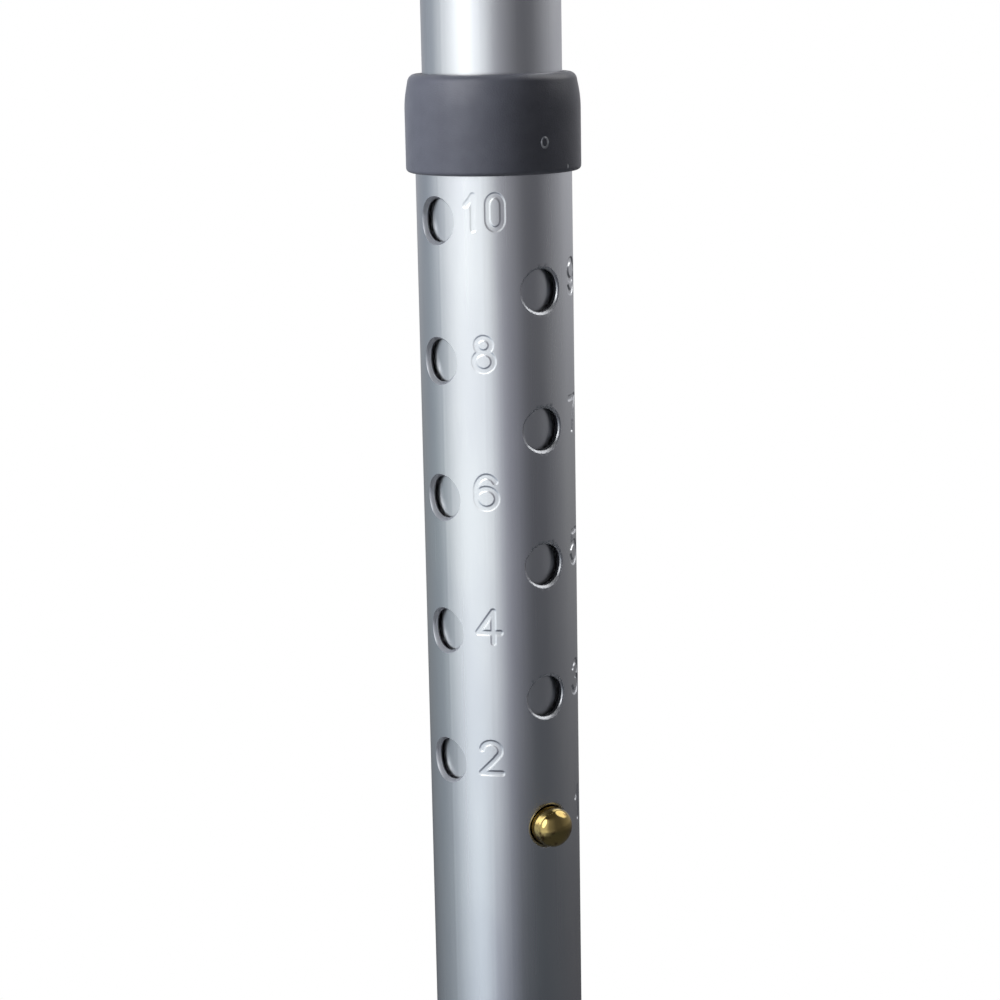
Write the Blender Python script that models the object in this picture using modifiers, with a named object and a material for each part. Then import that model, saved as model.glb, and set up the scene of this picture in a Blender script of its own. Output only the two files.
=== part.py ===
"""Underarm crutch of aluminium tube, with a numbered push-button telescoping leg.

Metres, +Z up. The origin is the centre of the ferrule's foot, +X is the side towards which the wing nut
points and -Y is the side from which the push button is worked. The crutch is at its shortest, with the
button in hole 1 and the handgrip in the third of its seven holes.
"""
import math

import bmesh
import bpy
from mathutils import Matrix, Vector

CLEAR = 0.0003                  # gap between pieces that touch

# Telescoping leg: 1 in tube inside 1 1/8 in tube, a numbered hole for every half inch.
CENTRE_OD = 0.0254
CENTRE_WALL = 0.0013
SLIDE_GAP = 0.0003              # all round, between the two tubes
LEG_WALL = 0.0013
LEG_LENGTH = 0.430
POSITIONS = 10
PITCH = 0.0127                  # from one number to the next
ROW_ANGLE = math.radians(83.5)  # from the odd row of holes round to the even row
HOLE_D = 0.0079
HOLE_CHAMFER = 0.00038
TOP_HOLE_DROP = 0.0081          # hole 10 below the collar's lower edge
BUTTON_TO_END = 0.045           # button above the centre tube's lower end

# Collar on top of the leg tube
COLLAR_WALL = 0.0014
COLLAR_HEIGHT = 0.0176
COLLAR_LIP = 0.0022
COLLAR_TOP_ROUND = 0.0016
COLLAR_DRAW_IN = 0.0006         # how much narrower the collar is at its top
COLLAR_SHOULDER = 0.0065        # height over which it draws in
COLLAR_FOOT_ROUND = 0.0008

# Snap button and its leaf spring
BUTTON_D = 0.0074
BUTTON_PROUD = 0.0040
BUTTON_SHOULDER = 0.0016        # straight shank outside the leg tube, below the dome
BUTTON_FLANGE_D = 0.0100
BUTTON_FLANGE = 0.0010
RIVET_D = 0.0030
RIVET_PROUD = 0.0006
SPRING_WIDTH = 0.0080
SPRING_GAUGE = 0.0005
SPRING_LENGTH = 0.046
SPRING_FOOT = 0.006             # leaf below the button's axis, and above it before it turns inward
SPRING_NOSE = 0.0035            # radius of the bend at the top
SPRING_BACK = 0.014             # stretch of the rear arm that lies on the tube's wall

# Glide ring in the centre tube's lower end
GLIDE_LIP = 0.0030
GLIDE_PLUG = 0.0120
GLIDE_WALL = 0.0024
GLIDE_EDGE = 0.0010

# Rubber ferrule
FERRULE_HEIGHT = 0.058
FERRULE_FOOT_D = 0.0500
FERRULE_FLOOR = 0.0140
FERRULE_WALL = 0.0036
FERRULE_NECK = 0.026            # height of the ringed stretch
FERRULE_EDGE = 0.0012
FERRULE_RINGS = 3
RING_PROUD = 0.0012
RING_HALF = 0.0016
SOLE_EDGE = 0.0090              # height of the foot's straight side
SOLE_SHOULDER = 0.0120          # height at which the flare reaches the foot
SOLE_STEP = 0.0010              # that the foot stands out beyond the flare
TREAD_GROOVES = 2
TREAD_RIM = 0.0040              # from the foot's edge to the first groove
TREAD_GROOVE = 0.0025
TREAD_LAND = 0.0035
TREAD_DEPTH = 0.0015
WASHER_GAUGE = 0.0016
WASHER_BORE_D = 0.0100

# Frame of two bent side tubes
SIDE_OD = 0.01905
SIDE_WALL = 0.0012
SPACER = 0.0030                 # spacer at its thinnest
SPACER_HEIGHT = 0.0200
SPACER_DEPTH = 0.0150
COLLAR_TO_FRAME = 0.058
CLAMP_LENGTH = 0.112
LOWER_BOLT = 0.020              # above the side tubes' lower ends
UPPER_BOLT = 0.090
CENTRE_ABOVE_FRAME_FOOT = 0.132
SPLAY_RISE = 0.105
GRIP_HALF_SPAN = 0.064          # middle of the crutch to the middle of a side tube
GRIP_ZONE = 0.215
TOP_HALF_SPAN = 0.084
TOP_RISE = 0.182
SPLAY_BEND = 0.075
TOP_BEND = 0.220

# Caps of the centre tube's upper end and of the side tubes' lower ends
CAP_RISE = 0.0030
CAP_ROUND = 0.0024
CAP_RIM = 0.0004
CAP_PLUG = 0.0140
CAP_WALL = 0.0020
PLUG_LENGTH = 0.0120
PLUG_HEAD = 0.0036
PLUG_LEAD = 0.0015

# Handgrip
GRIP_HOLES = 7
GRIP_PITCH = 0.0254
GRIP_HOLE_IN_USE = 3
FIRST_GRIP_HOLE = 0.026         # above the start of the parallel stretch
CORE_D = 0.0180
CORE_FLANGE_D = 0.0260
CORE_FLANGE = 0.0150
CORE_EDGE = 0.0015
CORE_SHORT = 0.0012             # from the core's end to the middle of the side tube that it wraps
SLEEVE_D = 0.0330
SLEEVE_SWELL = 0.0016
SLEEVE_EDGE = 0.0030

# Fasteners
BOLT_D = 0.0060
BOLT_HEAD_D = 0.0130
BOLT_HEAD = 0.0036
BOLT_CHAMFER = 0.0008
NUT_ACROSS = 0.0100
NUT_HEIGHT = 0.0060
NUT_COLLAR = 0.0018
NUT_COLLAR_D = 0.0088
NUT_EDGE = 0.0006
BOLT_TAIL = 0.0022
SADDLE_WASHER_D = 0.0150
SADDLE_WASHER = 0.0018
WING_SPAN = 0.0320
WING_HEIGHT = 0.0150
WING_GAUGE = 0.0032
WING_EAR = 0.0042               # radius of a wing's round tip
WING_ROOT = 0.0025              # that a wing reaches into the boss
WING_FOOT = 0.0012              # of a wing above the boss's face
WING_BOSS_D = 0.0125
WING_BOSS = 0.0080
WING_BOSS_TAPER = 0.0022
SCREW_D = 0.0040
SCREW_HEAD_D = 0.0084
SCREW_HEAD = 0.0026
SCREW_REACH = 0.0060            # of the screw inside the side tube
SCREW_POINT = 0.0030

# Underarm saddle and cushion
SADDLE_LENGTH = 0.204
SADDLE_WIDTH = 0.033
SADDLE_GAUGE = 0.0130
SADDLE_EDGE = 0.0025
SADDLE_RADIUS = 0.330           # of the hollow that the arm lies in
SOCKET_DEPTH = 0.034
SOCKET_WALL = 0.0032
SADDLE_FLOOR = 0.0030           # solid plastic between a socket and the beam's top
SADDLE_SKIN = 0.0028            # walls and top of the beam round the pockets in its underside
POCKETS = 6                     # in each of the two rows
RIB = 0.0022
CUSHION_OVERHANG = 0.0065
CUSHION_SIDE = 0.0080
CUSHION_TOP = 0.0240
CUSHION_ROUND = 0.0080

# Facets
SHARP_ANGLE = 35
FINE = 48
ROUND = 28
PLAIN = 20
PIPE = 16
PIPE_BORE = 14                  # unlike PIPE, so that no edge of a bore runs in line with one outside
SMALL = 12

# Radii and heights that follow from the sizes above
centre_r = CENTRE_OD / 2
centre_bore = centre_r - CENTRE_WALL
leg_bore = centre_r + SLIDE_GAP
leg_r = leg_bore + LEG_WALL
side_r = SIDE_OD / 2
side_bore = side_r - SIDE_WALL
collar_r = leg_r + CLEAR + COLLAR_WALL
hole_r = HOLE_D / 2
bolt_r = BOLT_D / 2
bolt_hole_r = bolt_r + CLEAR

leg_foot = FERRULE_FLOOR + WASHER_GAUGE + 2 * CLEAR
leg_top = leg_foot + LEG_LENGTH
collar_top = leg_top + CLEAR + COLLAR_LIP
collar_foot = collar_top - COLLAR_HEIGHT
hole_z = [collar_foot - TOP_HOLE_DROP - PITCH * (POSITIONS - number) for number in range(1, POSITIONS + 1)]
button_z = hole_z[0]
centre_foot = button_z - BUTTON_TO_END
frame_foot = collar_top + COLLAR_TO_FRAME
clamp_x = centre_r + SPACER + 2 * CLEAR + side_r
centre_top = frame_foot + CENTRE_ABOVE_FRAME_FOOT
bolt_heights = {"lower": frame_foot + LOWER_BOLT, "upper": frame_foot + UPPER_BOLT}
parallel_foot = frame_foot + CLAMP_LENGTH + SPLAY_RISE
parallel_top = parallel_foot + GRIP_ZONE
side_top = parallel_top + TOP_RISE
grip_heights = [parallel_foot + FIRST_GRIP_HOLE + GRIP_PITCH * step for step in range(GRIP_HOLES)]
grip_z = grip_heights[GRIP_HOLE_IN_USE - 1]
top_tilt = math.atan2(TOP_HALF_SPAN - GRIP_HALF_SPAN, TOP_RISE)

SIDES = {"left": -1, "right": 1}


# ---------------------------------------------------------------- helpers

def empty_the_scene():
    for old in list(bpy.data.objects):
        bpy.data.objects.remove(old, do_unlink=True)


def collection(name):
    group = bpy.data.collections.new(name)
    bpy.context.scene.collection.children.link(group)
    return group


def material(name, colour, roughness, metallic=0.0):
    made = bpy.data.materials.new(name)
    made.use_nodes = True
    shader = made.node_tree.nodes["Principled BSDF"]
    shader.inputs["Base Color"].default_value = (*colour, 1.0)
    shader.inputs["Roughness"].default_value = roughness
    shader.inputs["Metallic"].default_value = metallic
    made.diffuse_color = (*colour, 1.0)
    return made


def add_object(name, data, group, finish=None):
    made = bpy.data.objects.new(name, data)
    group.objects.link(made)
    if finish is not None:
        data.materials.append(finish)
    if group is cutters:
        made.hide_render = True
        made.display_type = "WIRE"
    return made


def mesh_from(bm, name):
    data = bpy.data.meshes.new(name)
    bm.to_mesh(data)
    bm.free()
    return data


def arc(centre_x, centre_z, radius, start, end, steps):
    """Points of a round corner, from the angle start to end in degrees, both ends included."""
    turn = [math.radians(start + (end - start) * i / steps) for i in range(steps + 1)]
    return [(centre_x + radius * math.cos(a), centre_z + radius * math.sin(a)) for a in turn]


def turned(name, profile, sides, group, finish=None, ring=False):
    """A profile of (radius, height) spun round Z. It runs top to bottom down its outer side.

    A ring's profile closes on itself; any other starts and ends on the axis.
    """
    bm = bmesh.new()
    points = [bm.verts.new((x, 0.0, z)) for x, z in profile]
    for first, second in zip(points, points[1:]):
        bm.edges.new((first, second))
    if ring:
        bm.edges.new((points[-1], points[0]))
    made = add_object(name, mesh_from(bm, name), group, finish)
    spin = made.modifiers.new("spin", "SCREW")
    spin.axis = "Z"
    spin.angle = math.tau
    spin.steps = sides
    spin.render_steps = sides
    spin.use_merge_vertices = True
    spin.merge_threshold = 0.00001
    spin.use_smooth_shade = True
    return made


def along_x(made, x, z, outward=1):
    """Lays a piece that was turned round Z along X, with its top pointing outward."""
    made.rotation_euler = (0.0, outward * math.pi / 2, 0.0)
    made.location = (x, 0.0, z)
    return made


def rods(name, ends, radius, sides):
    """A cutter of one or more plain rods, each from one point to another."""
    bm = bmesh.new()
    for start, end in ends:
        start = Vector(start)
        line = Vector(end) - start
        turn = line.to_track_quat("Z", "Y").to_matrix().to_4x4()
        place = Matrix.Translation(start + line / 2) @ turn
        bmesh.ops.create_cone(bm, cap_ends=True, segments=sides, radius1=radius, radius2=radius,
                              depth=line.length, matrix=place)
    return add_object(name, mesh_from(bm, name), cutters)


def combine(made, other, operation="DIFFERENCE"):
    step = made.modifiers.new(other.name, "BOOLEAN")
    step.operation = operation
    step.solver = "EXACT"
    step.object = other
    return made


def bent_path(corners, bends, steps):
    """A line through corners in the XZ plane, with each inner corner rounded to its bend radius."""
    path = [Vector(corners[0])]
    for before, corner, after, bend in zip(corners, corners[1:], corners[2:], bends):
        corner = Vector(corner)
        back = (Vector(before) - corner).normalized()
        ahead = (Vector(after) - corner).normalized()
        half = back.angle(ahead) / 2
        centre = corner + (back + ahead).normalized() * (bend / math.sin(half))
        start = corner + back * (bend / math.tan(half)) - centre
        end = corner + ahead * (bend / math.tan(half)) - centre
        for i in range(steps + 1):
            path.append(centre + start.slerp(end, i / steps, start) * bend)
    path.append(Vector(corners[-1]))
    return path


def round_outside(radius, sides):
    """Radius of a polygon whose flats, and not its corners, touch the circle. A bore is cut with it."""
    return radius / math.cos(math.pi / sides)


def welded_mesh(guide, turn):
    """The closed mesh of a curve object, turned into place. The curve is removed."""
    bpy.context.view_layer.update()
    data = bpy.data.meshes.new_from_object(guide.evaluated_get(bpy.context.evaluated_depsgraph_get()))
    data.name = guide.name
    data.materials.clear()
    bpy.data.objects.remove(guide, do_unlink=True)
    bm = bmesh.new()
    bm.from_mesh(data)
    bmesh.ops.remove_doubles(bm, verts=bm.verts, dist=0.00001)
    bmesh.ops.transform(bm, matrix=turn, verts=bm.verts)
    bmesh.ops.recalc_face_normals(bm, faces=bm.faces)
    bm.to_mesh(data)
    bm.free()
    return data


def pipe(name, path, radius, sides, group, finish=None):
    """A solid round bar along a path, as a closed mesh with an even number of sides."""
    curve = bpy.data.curves.new(name, "CURVE")
    curve.dimensions = "3D"
    curve.bevel_depth = radius
    curve.bevel_resolution = (sides - 4) // 2
    curve.use_fill_caps = True
    spline = curve.splines.new("POLY")
    spline.points.add(len(path) - 1)
    for point, (x, z) in zip(spline.points, path):
        point.co = (x, 0.0, z, 1.0)
    guide = bpy.data.objects.new(name, curve)
    group.objects.link(guide)
    return add_object(name, welded_mesh(guide, Matrix.Identity(4)), group, finish)


def stretched(path, extra):
    """The same path, run on straight past both ends."""
    first = path[0] + (path[0] - path[1]).normalized() * extra
    last = path[-1] + (path[-1] - path[-2]).normalized() * extra
    return [first] + path[1:-1] + [last]


def box(name, size, centre, group, finish=None, slices=0):
    """A block. With slices it is cut across its length, so that it can be bent."""
    bm = bmesh.new()
    bmesh.ops.create_cube(bm, size=1.0, matrix=Matrix.Diagonal((*size, 1.0)))
    if slices:
        long_edges = [edge for edge in bm.edges if abs(edge.verts[0].co.x - edge.verts[1].co.x) > size[0] / 2]
        bmesh.ops.subdivide_edges(bm, edges=long_edges, cuts=slices, use_grid_fill=True)
    bmesh.ops.translate(bm, verts=bm.verts, vec=centre)
    return add_object(name, mesh_from(bm, name), group, finish)


def edge_shading():
    """Nodes that shade every face smooth and every edge past SHARP_ANGLE sharp."""
    group = bpy.data.node_groups.new("edge_shading", "GeometryNodeTree")
    group.interface.new_socket("Mesh", in_out="INPUT", socket_type="NodeSocketGeometry")
    group.interface.new_socket("Mesh", in_out="OUTPUT", socket_type="NodeSocketGeometry")
    start = group.nodes.new("NodeGroupInput")
    end = group.nodes.new("NodeGroupOutput")
    angle = group.nodes.new("GeometryNodeInputMeshEdgeAngle")
    gentle = group.nodes.new("FunctionNodeCompare")
    gentle.operation = "LESS_THAN"
    gentle.inputs["B"].default_value = math.radians(SHARP_ANGLE)
    faces = group.nodes.new("GeometryNodeSetShadeSmooth")
    edges = group.nodes.new("GeometryNodeSetShadeSmooth")
    edges.domain = "EDGE"
    group.links.new(start.outputs[0], faces.inputs["Geometry"])
    group.links.new(faces.outputs[0], edges.inputs["Geometry"])
    group.links.new(angle.outputs["Unsigned Angle"], gentle.inputs["A"])
    group.links.new(gentle.outputs[0], edges.inputs["Shade Smooth"])
    group.links.new(edges.outputs[0], end.inputs[0])
    return group


def shade(made, nodes):
    made.modifiers.new("shading", "NODES").node_group = nodes


def parent_to(empty, *pieces):
    for piece in pieces:
        piece.parent = empty
        piece.matrix_parent_inverse = Matrix.Translation(-empty.location)


def axis_empty(name, location):
    made = bpy.data.objects.new(name, None)
    made.location = location
    made.empty_display_size = 0.02
    crutch.objects.link(made)
    return made


# ---------------------------------------------------------------- telescoping leg

def row_direction(number):
    """Unit vector out of the tube at a numbered hole: odd numbers face -Y, even ones are round the tube."""
    angle = 0.0 if number % 2 else -ROW_ANGLE
    return Vector((math.sin(angle), -math.cos(angle), 0.0))


def numbered_hole_cutter(name, inner, inner_radius, outer, outer_radius):
    """Ten round cutters, one at each hole, between two distances from the leg's axis."""
    bm = bmesh.new()
    for number in range(1, POSITIONS + 1):
        outward = row_direction(number)
        turn = outward.to_track_quat("Z", "Y").to_matrix().to_4x4()
        middle = Vector((0.0, 0.0, hole_z[number - 1])) + outward * (inner + outer) / 2
        bmesh.ops.create_cone(bm, cap_ends=True, segments=PLAIN, radius1=inner_radius, radius2=outer_radius,
                              depth=outer - inner, matrix=Matrix.Translation(middle) @ turn)
    return add_object(name, mesh_from(bm, name), cutters)


def make_leg_tube():
    profile = [(leg_r, leg_top), (leg_r, leg_foot), (leg_bore, leg_foot), (leg_bore, leg_top)]
    tube = turned("leg_tube", profile, FINE, crutch, anodised, ring=True)
    combine(tube, numbered_hole_cutter("numbered_hole_drill", leg_bore / 2, hole_r, leg_r + hole_r, hole_r))
    ease = 2 * HOLE_CHAMFER
    narrow = hole_r - HOLE_CHAMFER
    wide = hole_r + HOLE_CHAMFER + ease
    countersink = numbered_hole_cutter("numbered_hole_countersink", leg_r - ease, narrow, leg_r + ease, wide)
    return combine(tube, countersink)


def make_collar():
    """Plastic collar: a socket for the leg tube below, and a lip round the centre tube above."""
    mouth = centre_r + CLEAR
    socket = leg_r + CLEAR
    head_round = COLLAR_TOP_ROUND
    foot_round = COLLAR_FOOT_ROUND
    profile = [(mouth, collar_top)]
    profile += arc(collar_r - COLLAR_DRAW_IN - head_round, collar_top - head_round, head_round, 90, 10, 3)
    for i in range(1, 5):
        left = 1 - i / 4
        drop = head_round + (COLLAR_SHOULDER - head_round) * (1 - left)
        profile.append((collar_r - COLLAR_DRAW_IN * left ** 2, collar_top - drop))
    profile += arc(collar_r - foot_round, collar_foot + foot_round, foot_round, 0, -90, 2)
    profile += [(socket, collar_foot), (socket, leg_top + CLEAR), (mouth, leg_top + CLEAR)]
    return turned("leg_collar", profile, ROUND, crutch, dark_plastic, ring=True)


def make_ferrule():
    """Rubber tip: a bore for the leg, a ringed neck, a flare and a grooved sole."""
    bore = leg_r + CLEAR
    neck = bore + FERRULE_WALL
    foot = FERRULE_FOOT_D / 2
    neck_foot = FERRULE_HEIGHT - FERRULE_NECK
    lead = FERRULE_EDGE
    profile = [(0.0, FERRULE_FLOOR), (bore, FERRULE_FLOOR), (bore, FERRULE_HEIGHT - lead)]
    profile += [(bore + lead, FERRULE_HEIGHT)]
    profile += arc(neck - FERRULE_EDGE, FERRULE_HEIGHT - FERRULE_EDGE, FERRULE_EDGE, 90, 0, 2)
    for ring in range(1, FERRULE_RINGS + 1):
        level = FERRULE_HEIGHT - FERRULE_NECK * ring / (FERRULE_RINGS + 1)
        profile += [(neck, level + RING_HALF), (neck + RING_PROUD, level), (neck, level - RING_HALF)]
    steps = 5
    for i in range(1, steps + 1):
        part = i / steps
        ease = part * part * (3 - 2 * part)
        level = neck_foot + (SOLE_SHOULDER - neck_foot) * part
        profile.append((neck + (foot - SOLE_STEP - neck) * ease, level))
    profile += [(foot, SOLE_EDGE), (foot, FERRULE_EDGE), (foot - FERRULE_EDGE, 0.0)]
    for groove in range(TREAD_GROOVES):
        outer = foot - TREAD_RIM - groove * (TREAD_GROOVE + TREAD_LAND)
        inner = outer - TREAD_GROOVE
        profile += [(outer, 0.0), (outer, TREAD_DEPTH), (inner, TREAD_DEPTH), (inner, 0.0)]
    profile += [(0.0, 0.0)]
    return turned("ferrule", profile, ROUND, crutch, rubber)


def make_ferrule_washer():
    outer = leg_r - CLEAR
    inner = WASHER_BORE_D / 2
    low = FERRULE_FLOOR + CLEAR
    high = low + WASHER_GAUGE
    return turned("ferrule_washer", [(outer, high), (outer, low), (inner, low), (inner, high)],
                  ROUND, crutch, zinc, ring=True)


def make_centre_tube():
    profile = [(centre_r, centre_top), (centre_r, centre_foot)]
    profile += [(centre_bore, centre_foot), (centre_bore, centre_top)]
    tube = turned("centre_tube", profile, FINE, crutch, anodised, ring=True)
    combine(tube, rods("button_drill", [((0, 0, button_z), (0, -2 * centre_r, button_z))], hole_r, PLAIN))
    for name, level in bolt_heights.items():
        ends = [((-2 * centre_r, 0, level), (2 * centre_r, 0, level))]
        combine(tube, rods("centre_" + name + "_drill", ends, bolt_hole_r, SMALL))
    return tube


def make_centre_cap():
    plug = centre_bore - CLEAR
    base = centre_top + CLEAR
    foot = base - CAP_PLUG
    profile = [(0.0, base + CAP_RISE)]
    profile += arc(centre_r - CAP_ROUND, base + CAP_RIM, CAP_ROUND, 80, 10, 3)
    profile += [(centre_r, base), (plug, base), (plug, foot + GLIDE_EDGE), (plug - GLIDE_EDGE, foot)]
    profile += [(plug - CAP_WALL, foot), (plug - CAP_WALL, base), (0.0, base)]
    return turned("centre_tube_cap", profile, ROUND, crutch, dark_plastic)


def make_glide_ring():
    plug = centre_bore - CLEAR
    lip_top = centre_foot - CLEAR
    inner = plug - GLIDE_WALL
    profile = [(plug, centre_foot + GLIDE_PLUG), (plug, lip_top), (centre_r, lip_top)]
    profile += [(centre_r, lip_top - GLIDE_LIP + GLIDE_EDGE), (centre_r - GLIDE_EDGE, lip_top - GLIDE_LIP)]
    profile += [(inner, lip_top - GLIDE_LIP), (inner, centre_foot + GLIDE_PLUG)]
    return turned("glide_ring", profile, ROUND, crutch, nylon, ring=True)


def button_seat():
    """Distance from the leg's axis to the button flange's outer face, which meets the tube's curved bore."""
    half = BUTTON_FLANGE_D / 2
    return math.sqrt(centre_bore ** 2 - half ** 2) - CLEAR


def make_snap_button():
    """Brass button, turned round its own axis: domed head, shank, flange and rivet."""
    shank = BUTTON_D / 2
    seat = button_seat()
    tip = leg_r + BUTTON_PROUD
    shoulder = leg_r + BUTTON_SHOULDER
    profile = [(0.0, tip)]
    for i in range(1, 6):
        angle = math.radians(90 * i / 5)
        profile.append((shank * math.sin(angle), shoulder + (tip - shoulder) * math.cos(angle)))
    profile += [(shank, seat), (BUTTON_FLANGE_D / 2, seat), (BUTTON_FLANGE_D / 2, seat - BUTTON_FLANGE)]
    rivet_end = seat - BUTTON_FLANGE - 2 * CLEAR - SPRING_GAUGE - RIVET_PROUD
    profile += [(RIVET_D / 2, seat - BUTTON_FLANGE), (RIVET_D / 2, rivet_end), (0.0, rivet_end)]
    button = turned("snap_button", profile, PLAIN, crutch, brass)
    button.rotation_euler = (math.pi / 2, 0.0, 0.0)
    button.location = (0.0, 0.0, button_z)
    return button


def make_button_spring():
    """V-shaped leaf: one arm lies on the tube's back wall, the other carries the button."""
    arm = button_seat() - BUTTON_FLANGE - CLEAR - SPRING_GAUGE / 2
    back = math.sqrt(centre_bore ** 2 - (SPRING_WIDTH / 2) ** 2) - CLEAR - SPRING_GAUGE
    low = button_z - SPRING_FOOT
    high = low + SPRING_LENGTH
    line = [(-arm, low), (-arm, button_z + SPRING_FOOT)]
    line += arc(0.0, high - SPRING_NOSE, SPRING_NOSE, 180, 0, 6)
    line += [(back, low + SPRING_BACK), (back, low)]
    bm = bmesh.new()
    points = [bm.verts.new((-SPRING_WIDTH / 2, y, z)) for y, z in line]
    edges = [bm.edges.new(pair) for pair in zip(points, points[1:])]
    wide = bmesh.ops.extrude_edge_only(bm, edges=edges)["geom"]
    moved = [item for item in wide if isinstance(item, bmesh.types.BMVert)]
    bmesh.ops.translate(bm, verts=moved, vec=(SPRING_WIDTH, 0.0, 0.0))
    spring = add_object("button_spring", mesh_from(bm, "button_spring"), crutch, spring_steel)
    leaf = spring.modifiers.new("gauge", "SOLIDIFY")
    leaf.thickness = SPRING_GAUGE
    leaf.offset = 0.0
    combine(spring, rods("rivet_drill", [((0, 0, button_z), (0, -centre_r, button_z))],
                         RIVET_D / 2 + CLEAR, SMALL))
    return spring


# ---------------------------------------------------------------- frame

def side_corners(sign):
    return [
        (sign * clamp_x, frame_foot),
        (sign * clamp_x, frame_foot + CLAMP_LENGTH),
        (sign * GRIP_HALF_SPAN, parallel_foot),
        (sign * GRIP_HALF_SPAN, parallel_top),
        (sign * TOP_HALF_SPAN, side_top),
    ]


def side_path(sign):
    return bent_path(side_corners(sign), [SPLAY_BEND, SPLAY_BEND, TOP_BEND], 4)


def socket_point(sign, below):
    """A point on a side tube's axis, a distance below its upper end."""
    inward = below * math.sin(top_tilt)
    return Vector((sign * (TOP_HALF_SPAN - inward), 0.0, side_top - below * math.cos(top_tilt)))


def make_side_tubes():
    across = GRIP_HALF_SPAN + 2 * side_r
    grip_ends = [((-across, 0, z), (across, 0, z)) for z in grip_heights]
    clamp_ends = [((-2 * clamp_x, 0, z), (2 * clamp_x, 0, z)) for z in bolt_heights.values()]
    grip_drill = rods("grip_drill", grip_ends, bolt_hole_r, SMALL)
    clamp_drill = rods("clamp_drill", clamp_ends, bolt_hole_r, SMALL)
    tubes = {}
    for side, sign in SIDES.items():
        path = side_path(sign)
        tube = pipe("side_tube_" + side, path, side_r, PIPE, crutch, anodised)
        combine(tube, pipe("side_bore_" + side, stretched(path, side_r), round_outside(side_bore, PIPE_BORE),
                           PIPE_BORE, cutters))
        combine(tube, grip_drill)
        combine(tube, clamp_drill)
        middle = socket_point(sign, SOCKET_DEPTH / 2)
        combine(tube, rods("screw_drill_" + side, [(middle, middle + Vector((0, -2 * side_r, 0)))],
                           SCREW_D / 2 + CLEAR, SMALL))
        tubes[side] = tube
    return tubes


def make_side_plugs():
    plug = side_bore - CLEAR
    base = frame_foot - CLEAR
    top = base + PLUG_LENGTH
    rim = base - PLUG_HEAD + CAP_ROUND
    profile = [(0.0, top), (plug - PLUG_LEAD, top), (plug, top - PLUG_LEAD), (plug, base), (side_r, base)]
    profile += arc(side_r - CAP_ROUND, rim, CAP_ROUND, 0, -80, 3)
    profile += [(0.0, base - PLUG_HEAD)]
    for side, sign in SIDES.items():
        turned("side_tube_plug_" + side, profile, PIPE, crutch, dark_plastic).location.x = sign * clamp_x


def make_spacers():
    """Saddle blocks, hollowed on one side for the centre tube and on the other for a side tube."""
    for name, level in bolt_heights.items():
        low = level - SPACER_HEIGHT
        high = level + SPACER_HEIGHT
        for side, sign in SIDES.items():
            label = name + "_" + side
            x = sign * clamp_x
            middle = (sign * (centre_r + clamp_x - side_r) / 2, 0, level)
            size = (centre_r + side_r, SPACER_DEPTH, SPACER_HEIGHT)
            block = box("spacer_" + label, size, middle, crutch, dark_plastic)
            combine(block, rods("spacer_centre_" + label, [((0, 0, low), (0, 0, high))],
                                round_outside(centre_r + CLEAR, ROUND), ROUND))
            combine(block, rods("spacer_side_" + label, [((x, 0, low), (x, 0, high))],
                                round_outside(side_r + CLEAR, ROUND), ROUND))
            combine(block, rods("spacer_bolt_" + label, [((0, 0, level), (2 * x, 0, level))],
                                bolt_hole_r, SMALL))


def bolt_profile(length):
    """Truss-head bolt with its head's underside at height zero and its shank running down."""
    head = BOLT_HEAD_D / 2
    profile = [(0.0, BOLT_HEAD)]
    for i in range(1, 4):
        angle = math.radians(90 * i / 4)
        rise = (BOLT_HEAD - BOLT_CHAMFER) * math.cos(angle)
        profile.append((head * math.sin(angle), BOLT_CHAMFER + rise))
    profile += [(head, BOLT_CHAMFER), (head, 0.0), (bolt_r, 0.0)]
    profile += [(bolt_r, BOLT_CHAMFER - length), (bolt_r - BOLT_CHAMFER, -length), (0.0, -length)]
    return profile


def make_frame_bolts():
    seat = clamp_x + side_r + CLEAR
    length = 2 * seat + CLEAR + NUT_HEIGHT + NUT_COLLAR + BOLT_TAIL
    for name, level in bolt_heights.items():
        bolt = turned("frame_bolt_" + name, bolt_profile(length), SMALL, crutch, zinc)
        along_x(bolt, -seat, level, -1)
        nut = lock_nut("frame_nut_" + name)
        along_x(nut, seat + CLEAR, level)


def lock_nut(name):
    """Hexagon nut with the round collar that holds its locking insert."""
    bm = bmesh.new()
    corner = NUT_ACROSS / 2 / math.cos(math.pi / 6)
    bmesh.ops.create_cone(bm, cap_ends=True, segments=6, radius1=corner, radius2=corner, depth=NUT_HEIGHT,
                          matrix=Matrix.Translation((0, 0, NUT_HEIGHT / 2)))
    nut = add_object(name, mesh_from(bm, name), crutch, zinc)
    rim = NUT_COLLAR_D / 2
    top = NUT_HEIGHT + NUT_COLLAR
    sunk = NUT_HEIGHT / 2
    profile = [(0.0, top), (rim - NUT_EDGE, top), (rim, top - NUT_EDGE), (rim, sunk), (0.0, sunk)]
    collar = turned(name + "_collar", profile, PLAIN, cutters)
    bore = turned(name + "_bore", [(0.0, 2 * NUT_HEIGHT), (bolt_hole_r, 2 * NUT_HEIGHT),
                                   (bolt_hole_r, -NUT_HEIGHT), (0.0, -NUT_HEIGHT)], SMALL, cutters)
    for part in (collar, bore):
        part.parent = nut
    combine(nut, collar, "UNION")
    return combine(nut, bore)


# ---------------------------------------------------------------- underarm saddle and cushion

def hollow(x):
    """Rise of the saddle's curve above its lowest point, which is in the middle."""
    return SADDLE_RADIUS - math.sqrt(SADDLE_RADIUS ** 2 - x ** 2)


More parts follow.
